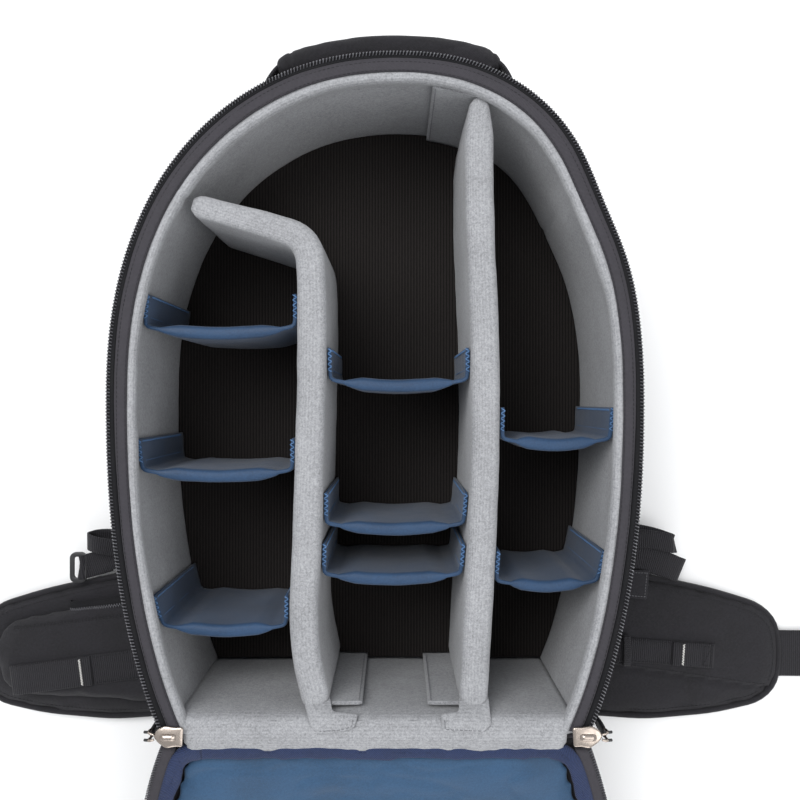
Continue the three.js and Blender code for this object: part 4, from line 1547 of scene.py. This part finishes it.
def handle_webbing():
    """Ribbed webbing, sewn down at both ends, that runs through the sleeve."""
    low, high = node_box("handle_webbing")
    z = (low.z + high.z) / 2
    path = []
    for i in range(61):
        t = HANDLE_FROM - 0.002 + (1 - 2 * HANDLE_FROM + 0.004) * i / 60
        rise = min(1, max(0, (min(t, 1 - t) - HANDLE_FROM) / HANDLE_BEND))
        rise = rise * rise * (3 - 2 * rise)
        path.append((*arch_point(t + HANDLE_SHIFT, HANDLE_LOW + (HANDLE_STAND - HANDLE_LOW) * rise,
                                 WALL_END), z))
    strip("handle_band", path, high.z - low.z, 2.2, WEBBING, "handle", (0, 0, 1), ("handle_webbing",), step=3)
    for i, label in ((0, "left"), (1, "right")):
        t = HANDLE_SHIFT + (HANDLE_FROM + 0.004 if i == 0 else 1 - HANDLE_FROM - 0.004)
        box_path = [(*arch_point(t + 0.003 * u, HANDLE_LOW - 1.7, WALL_END), z + v) for u, v in
                    ((-1, -8), (1, -8), (1, 8), (-1, 8), (-1, -8))]
        stitches(f"handle_box_{label}", [Vector(p) for p in box_path], BLACK_THREAD, "handle", 2.4, 1.7, 0.3)


handle_webbing()


def handle_sleeve():
    """The stuffed sleeve, with a seam round each of its rounded ends."""
    low, high = node_box("handle_sleeve")
    z0, z1 = low.z, high.z
    count = 40
    rings = []
    for i in range(count + 1):
        share = i / count
        t = SLEEVE_SPAN[0] + 0.002 + (SLEEVE_SPAN[1] - SLEEVE_SPAN[0] - 0.004) * share
        ends = math.sqrt(max(0.0, min(1.0, min(share, 1 - share) * 16)))
        half = 3.2 + 4.6 * ends
        tall = (z1 - z0) / 2 - 3 - 5 * (1 - ends)
        ring = []
        for j in range(16):
            w = 2 * math.pi * j / 16
            px, pz = math.cos(w), math.sin(w)
            u = half * math.copysign(abs(px) ** 0.55, px)
            v = tall * math.copysign(abs(pz) ** 0.55, pz)
            ring.append((*arch_point(t, -20.6 + u, WALL_END), (z0 + z1) / 2 + v))
        rings.append(ring)
    sleeve = make("handle_sleeve_pad", *loft(rings), NYLON)
    middle = Vector((*arch_point(0.5, -20, WALL_END), (z0 + z1) / 2))

    def shape(p, n):
        along = p.x - middle.x
        for end in (-74, 68):
            p = p - n * 1.1 * math.exp(-((along - end) / 1.5) ** 2)
        p = p + n * 0.35 * wobble(p.x, p.y, p.z, 24, 3.9)
        return p

    puff(sleeve, 3.6, 4.0, 2.4, after=shape)
    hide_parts("handle_sleeve")
    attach(sleeve, "handle")


handle_sleeve()


# ---- harness side ----
def air_pad(name, outline, body, z0, z1, cap, channels=()):
    """A mesh-faced foam pad with sewn channels; channels are (point, direction) lines in plan."""
    low, high = node_box(name)

    def shape(p, n):
        if n.z < -0.2:
            for (px, py), (dx, dy) in channels:
                away = abs((p.x - px) * dy - (p.y - py) * dx)
                p = p + Vector((0, 0, 2.6 * math.exp(-(away / 3.0) ** 2)))
        return Vector((p.x, p.y, min(high.z - 0.1, max(low.z + 0.05, p.z))))

    pad(f"{name}_foam", inset(outline, 4.0), z0, z1, AIR_MESH, body, (name,), cap=cap,
        after=shape)
    edge_cord(f"{name}_binding", inset(outline, 1.6), (low.z + high.z) / 2, 2.0, CHARCOAL, body, squash=1.6)


BACK_PAD = [(-60, -105), (60, -105), (56, 40), (14, 118), (-14, 118), (-56, 40)]
air_pad("back_pad", rounded(BACK_PAD, 16), "bag", 3, 19, 3.0,
        [((0, 0), (0, 1)), ((0, -40), (1, 0)), ((0, 40), (1, 0))])
air_pad("lumbar_pad", rounded(rectangle(-105, 105, -215, -112), 20), "bag", 3, 19, 3.0,
        [((-38, 0), (0, 1)), ((38, 0), (0, 1))])
low, high = node_box("strap_yoke")
yoke = rounded(rectangle(low.x, high.x, low.y, high.y), 14)
leaf("strap_yoke_cloth", yoke, low.z, high.z, NYLON, "bag", ("strap_yoke",), "black_nylon", soft=2.5,
     shape=lambda p: (p.x, p.y, p.z + 0.3 * wobble(p.x, p.y, 0, 26, 6.1)))
edge_cord("strap_yoke_binding", inset(yoke, 0.4), (low.z + high.z) / 2, 2.0, CHARCOAL, "bag")
yoke_row = [Vector((x, y, low.z - 0.1)) for x, y in inset(yoke, 6)]
stitches("strap_yoke_stitches", yoke_row + yoke_row[:1], BLACK_THREAD, "bag", 3.2, 2.3, 0.28)

STRAP_LINE = [(44, 146), (60, 104), (84, 44), (106, -14), (122, -58), (130, -86)]
STRAP_HALF = 27


def strap_outline(side):
    """A shoulder strap's outline in plan, a little narrower at its lower end."""
    line = catmull([Vector((x, y, 0)) for x, y in STRAP_LINE], 5)
    sides = [[], []]
    for i, (p, d) in enumerate(zip(line, directions(line))):
        share = i / (len(line) - 1)
        width = STRAP_HALF * (1 - 0.25 * share ** 4)
        sides[0].append((p.x - d.y * width, p.y + d.x * width))
        sides[1].append((p.x + d.y * width, p.y - d.x * width))
    outline = sides[0] + sides[1][::-1]
    return [(side * x, y) for x, y in outline]


for label, s in (("left", -1), ("right", 1)):
    body = f"shoulder_strap_{label}"
    outline = strap_outline(s)
    air_pad(body, rounded(outline, 10, 3), body, 2.6, 11.6, 2.2)
    line = [Vector((s * x, y, 0)) for x, y in STRAP_LINE]
    spine = [Vector((p.x, p.y, 1.1)) for p in catmull(line[1:-1], 5)]
    strip(f"strap_{label}_daisy", spine, 20, 1.2, WEBBING, body, across=(1, 0.35 * s, 0), step=5)
    lock = f"strap_adjuster_{label}"
    from_cad(lock, lock, 0.7)
    x = s * 134
    loop = [(x, -80, 6.2), (x, -92, 2.2), (x, -84, 2.6)]
    strip(f"strap_{label}_keeper", catmull(loop, 4), 19, 1.5, WEBBING, body, across=(1, 0, 0), step=2)


def webbing_left():
    """Slack webbing on the left: a flat tail through the plastic loop, and a curl of it above."""
    body = "strap_webbing_left"
    tail = [(-166, -123, 16.6), (-190, -124, 16.9), (-215, -128, 17.2), (-232, -134, 17.2),
            (-240, -136.5, 17.6),
            (-244.4, -137.6, 19.2), (-245.6, -137.9, 17.2), (-243, -137.2, 15.0), (-232, -134.4, 14.9),
            (-222, -131.6, 15.1)]
    strip("webbing_left_tail", catmull([Vector(p) for p in tail], 6), 19.5, 1.7, WEBBING, body,
          across=(0.16, 1, 0), replaces=("strap_webbing_left",), step=2)
    curl = [(-178, -115, 17.8), (-205, -113, 18.2), (-226, -112.4, 19.2), (-234.8, -113.6, 22.4),
            (-236.0, -114.8, 27.4), (-230, -116.6, 30.8), (-221, -118.6, 30.0), (-208, -121.2, 26.0),
            (-190, -124, 21.6)]
    strip("webbing_left_curl", catmull([Vector(p) for p in curl], 7), 15, 1.6, WEBBING, body,
          across=(0.1, 0.93, 0.36), step=2)
    from_cad("strap_ring", body, 0.8)


def webbing_right():
    """Slack webbing on the right: folded over twice, with a stitched tab over its root."""
    body = "strap_webbing_right"
    upper = [(166, -111, 16.8), (196, -108, 17.0), (220, -111, 17.8), (238, -116.5, 19.4),
             (241.0, -117.6, 21.0),
             (238, -117.2, 22.6), (222, -113.8, 22.8), (204, -113, 21.6)]
    strip("webbing_right_upper", catmull([Vector(p) for p in upper], 6), 15, 1.6, WEBBING, body,
          across=(-0.25, 1, 0), replaces=("strap_webbing_right",), step=2)
    lower = [(166, -128, 16.6), (190, -129, 18.2), (212, -128, 20.6), (232, -133.5, 21.6),
             (244.0, -138.4, 20.6),
             (247.2, -139.6, 18.6), (243.6, -138.6, 16.8), (228, -134, 16.4), (208, -131, 16.4)]
    strip("webbing_right_lower", catmull([Vector(p) for p in lower], 6), 20, 1.7, WEBBING, body,
          across=(0.42, 1, 0), step=2)
    tab = rounded([(170, -138), (221, -139), (218.5, -163), (188, -160), (170, -152)], 1.2, 2)
    leaf("webbing_right_tab", tab, 22.0, 23.6, NYLON, body, slot="webbing", rings=8, soft=0.8,
         shape=lambda p: (p.x, p.y, p.z + 0.4 * wobble(p.x, p.y, 0, 18, 3.1) - 0.0028 * max(0,
                                                                                            p.x - 200) ** 2))
    row = [Vector((x, y, 23.9 - 0.0028 * max(0, x - 200) ** 2)) for x, y in inset(tab, 2.2)]
    stitches("webbing_right_tab_stitches", row + row[:1], GREY_THREAD, body, 2.4, 1.7, 0.22)
    web = [(170, -148, 20.6), (190, -149, 21.2), (206, -150, 21.2), (214, -150, 20.4)]
    strip("webbing_right_root", catmull([Vector(p) for p in web], 5), 21, 1.8, WEBBING, body,
          across=(0, 1, 0), step=3)


webbing_left()
webbing_right()


# ---- waist belt ----
WING = [(114, -132), (150, -136), (220, -143.5), (277, -156), (316, -168), (331, -182),
        (336, -210), (331, -238), (316, -252), (277, -261), (220, -266), (165, -262), (114, -245)]
BELT_POCKET = [(166, -153), (220, -157), (277, -169), (308, -179), (320, -205), (310, -238), (277, -249),
               (166, -252)]
WING_TOP = node_box("belt_wing_left")[1].z
POCKET_TOP = node_box("belt_pocket")[1].z


def mirrored(points):
    return [(-x, y) for x, y in points][::-1]


def wing_shape(s):
    """The wing's face: a lapped seam across it on the right, puckers near its edges."""
    def shape(p, n):
        z = p.z
        if n.z > 0.1:
            if s > 0:
                seam = p.y - (-220 - 0.148 * (p.x - 201.6))
                z -= 2.2 * math.exp(-((seam + 0.9) / 1.6) ** 2) + (1.5 if seam < 0 else 0)
            z += 0.5 * wobble(p.x, p.y, 0, 42, 2.9) + 0.25 * wobble(p.x, p.y, 0, 13, 7.9)
        edge = 1.2 * wobble(p.x, 0, 0, 17, 4.7) * (1 if p.y < -240 else 0.3)
        y = p.y + edge * min(1, max(0, (abs(p.y + 200) - 34) / 20))
        return Vector((p.x, y, min(WING_TOP + 0.2, max(0.5, z))))
    return shape


wings = {}
for label, s in (("left", -1), ("right", 1)):
    outline = rounded(WING if s > 0 else mirrored(WING), 14, 3)
    wings[label] = pad(f"belt_wing_{label}_pad", inset(outline, 1.8), 2.6, 12.6, NYLON, f"belt_wing_{label}",
                       (f"belt_wing_{label}",), 5.0, 2.6, 4.0, wing_shape(s))
    edge_cord(f"belt_wing_{label}_binding", inset(outline, 3.0), 7.4, 2.7, NYLON, f"belt_wing_{label}",
              squash=1.3)
wing_face = Surface(wings["right"])


def belt_pocket_shape(p, n):
    z = p.z
    if n.z > 0.1:
        z += 0.9 * wobble(p.x, p.y, 0, 46, 8.9) + 0.35 * wobble(p.x, p.y, 0, 15, 1.9)
        lower = max(0.0, (-236 - p.y) / 12)
        z -= 1.2 * lower
    y = p.y + (1.8 * wobble(p.x, 3, 0, 19, 5.7) if p.y < -240 else 0)
    return Vector((p.x, y, min(POCKET_TOP, max(15.35, z))))


pocket_outline = rounded(mirrored(BELT_POCKET), 12, 3)
belt_pocket = pad("belt_pocket_cloth", inset(pocket_outline, 3.4), 16.6, 24.2, NYLON, "belt_wing_left",
                  ("belt_pocket",), 4.4, 3.4, 4.0, belt_pocket_shape)
pocket_face = Surface(belt_pocket)
SLIDER_LOW, SLIDER_HIGH = node_box("belt_pocket_slider")
BAND = ((SLIDER_LOW.x + SLIDER_HIGH.x) / 2, (SLIDER_LOW.y + SLIDER_HIGH.y) / 2)
BAND_SLOPE = 0.1188


def band_y(x, offset=0.0):
    return BAND[1] + BAND_SLOPE * (x - BAND[0]) + offset


band = [pocket_face.drop(x, band_y(x), 0.35) for x in range(-296, -168, 4)]
strip("belt_pocket_zip_band", band, 13.5, 1.0, TAPE, "belt_wing_left", across=(-BAND_SLOPE, 1, 0), step=3)
coil_rows("belt_pocket_zip_coil", [p + Vector((0, 0, 0.7)) for p in band], "belt_wing_left", size=0.85)
for offset, label in ((-7.6, "lower"), (7.6, "upper"), (-9.2, "outer")):
    row = [pocket_face.drop(x, band_y(x, offset), 0.3) for x in range(-298, -167, 4)]
    stitches(f"belt_pocket_stitches_{label}", row, BLACK_THREAD, "belt_wing_left", 2.8, 2.0, 0.3)
small_slider("belt_pocket_slider", "belt_pocket_slider", (-0.993, -0.118, 0), band[len(band) // 2].z + 1.6,
             None,
             "belt_pocket_slider")


def bartack(name, top, bottom, body):
    """A dense white zigzag across webbing."""
    corners = zigzag([top, bottom], (Vector(bottom) - Vector(top)).cross(Vector((0, 0, 1))).normalized(),
                     1.9, 1.05)
    return make(name, *merged([capsule(a, b, 0.42) for a, b in zip(corners, corners[1:])]), WHITE_THREAD,
                body)


def belt_strip(side, x0, x1, y0, y1, width, face, tack, step_at):
    """The webbing strip on a belt wing: sewn flat, doubled over at its outer end, with a white bartack."""
    body = f"belt_wing_{side}"
    s = -1 if side == "left" else 1

    def middle(x):
        return y0 + (y1 - y0) * (x - x0) / (x1 - x0)

    xs = [x0 + (x1 - x0) * k / 24 for k in range(25)]
    first = [face.drop(x, middle(x), 0.9) for x in xs]
    across = Vector((-(y1 - y0) / (x1 - x0), 1, 0))
    strip(f"belt_strip_{side}_web", first, width, 1.7, WEBBING, body, tuple(across), (f"belt_strip_{side}",),
          step=3)
    if side == "left":
        over = [face.drop(x, middle(x), 2.5) for x in xs if (x - step_at) * s >= 0]
    else:
        over = [face.drop(x, middle(x), 2.8) for x in xs if step_at <= x <= 274]
    lead = over[0] - Vector((s * 0.7, 0, 1.5))
    strip(f"belt_strip_{side}_over", [lead] + over, width - 0.6, 1.7, WEBBING, body, tuple(across), step=2)
    z = face.drop(tack, middle(tack)).z + (3.6 if side == "left" else 3.9)
    half = across.normalized() * (width / 2 - 1.5)
    centre = Vector((tack, middle(tack), z))
    bartack(f"belt_strip_{side}_bartack", centre + half, centre - half, body)
    for offset, label in ((width / 2 - 1.4, "upper"), (1.4 - width / 2, "lower")):
        row = [p + across.normalized() * offset + Vector((0, 0, 1.0)) for p in first]
        stitches(f"belt_strip_{side}_stitches_{label}", row, BLACK_THREAD, body, 3.0, 2.1, 0.26)
    return middle, across.normalized()


belt_strip("left", -168, -298, -210.5, -227.5, 24, pocket_face, -241, -231.5)
middle, across = belt_strip("right", 172, 276, -203.5, -210.8, 20, wing_face, 249.5, 241)
corners = [Vector((x, middle(x), wing_face.drop(x, middle(x)).z + 3.8)) + across * v for x, v in
           ((266, -8), (272.5, -8), (272.5, 8), (266, 8), (266, -8), (272.5, 8))]
stitches("belt_strip_right_box", corners, BLACK_THREAD, "belt_wing_right", 2.4, 1.7, 0.3)
loop_x = 203
loop = [(loop_x, middle(loop_x) + v, wing_face.drop(loop_x, -203).z + 2.0 + h) for v, h in
        ((11.6, 0), (12.0, 2.4), (8, 3.6), (0, 3.9), (-8, 3.6), (-12.0, 2.4), (-11.6, 0))]
strip("belt_strip_right_keeper", catmull([Vector(p) for p in loop], 5), 6.0, 1.2, WEBBING, "belt_wing_right",
      across=(1, 0, 0), step=2)
lap = [wing_face.drop(x, -220 - 0.148 * (x - 201.6) + 2.4, 0.2) for x in range(150, 322, 5)]
stitches("belt_wing_right_lap_stitches", lap, BLACK_THREAD, "belt_wing_right", 3.2, 2.3, 0.28)
for label, s, face in (("left", -1, Surface(wings["left"])), ("right", 1, wing_face)):
    outline = rounded(WING if s > 0 else mirrored(WING), 14, 3)
    row = [face.drop(x, y, 0.15) for x, y in inset(outline, 9)]
    row = [p for p in row if p.z > 3]
    stitches(f"belt_wing_{label}_edge_stitches", row, BLACK_THREAD, f"belt_wing_{label}", 3.4, 2.5, 0.28)

for label, s in (("left", -1), ("right", 1)):
    low, high = node_box(f"belt_webbing_{label}")
    root, tip = (high.x, low.x) if s < 0 else (low.x, high.x)
    y, z = (low.y + high.y) / 2, (low.z + high.z) / 2
    body = f"belt_tail_{label}"
    line = [Vector((root - s * 10, y, z - 0.2)), Vector((root, y, z)), Vector((root + s * 20, y, z + 0.5)),
            Vector((root + s * 44, y, z - 0.2)), Vector((tip, y, z)), Vector((tip + s * 7, y, z))]
    strip(f"belt_tail_{label}_web", catmull(line, 5), high.y - low.y, 2.1, WEBBING, body, (0, 1, 0),
          (f"belt_webbing_{label}",), step=3)
from_cad("buckle_plug", "belt_tail_left", 0.9)
from_cad("buckle_socket", "belt_tail_right", 0.7)


def buckle_ribs():
    """Grip ribs on the socket's face."""
    low, high = node_box("buckle_socket")
    parts = []
    for k in range(5):
        x = high.x - 9 - 3.4 * k
        parts.append(capsule((x, low.y + 16, high.z - 0.1), (x, high.y - 16, high.z - 0.1), 0.7, 8))
    make("buckle_socket_ribs", *merged(parts), PLASTIC, "belt_tail_right")


buckle_ribs()

# ---- floor under it all ----
ground = make("floor", [(-4000, -4000, 0), (4000, -4000, 0), (4000, 4000, 0), (-4000, 4000, 0)],
              [(0, 1, 2, 3)],
              floor_material.material)
ground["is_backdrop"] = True

low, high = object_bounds()
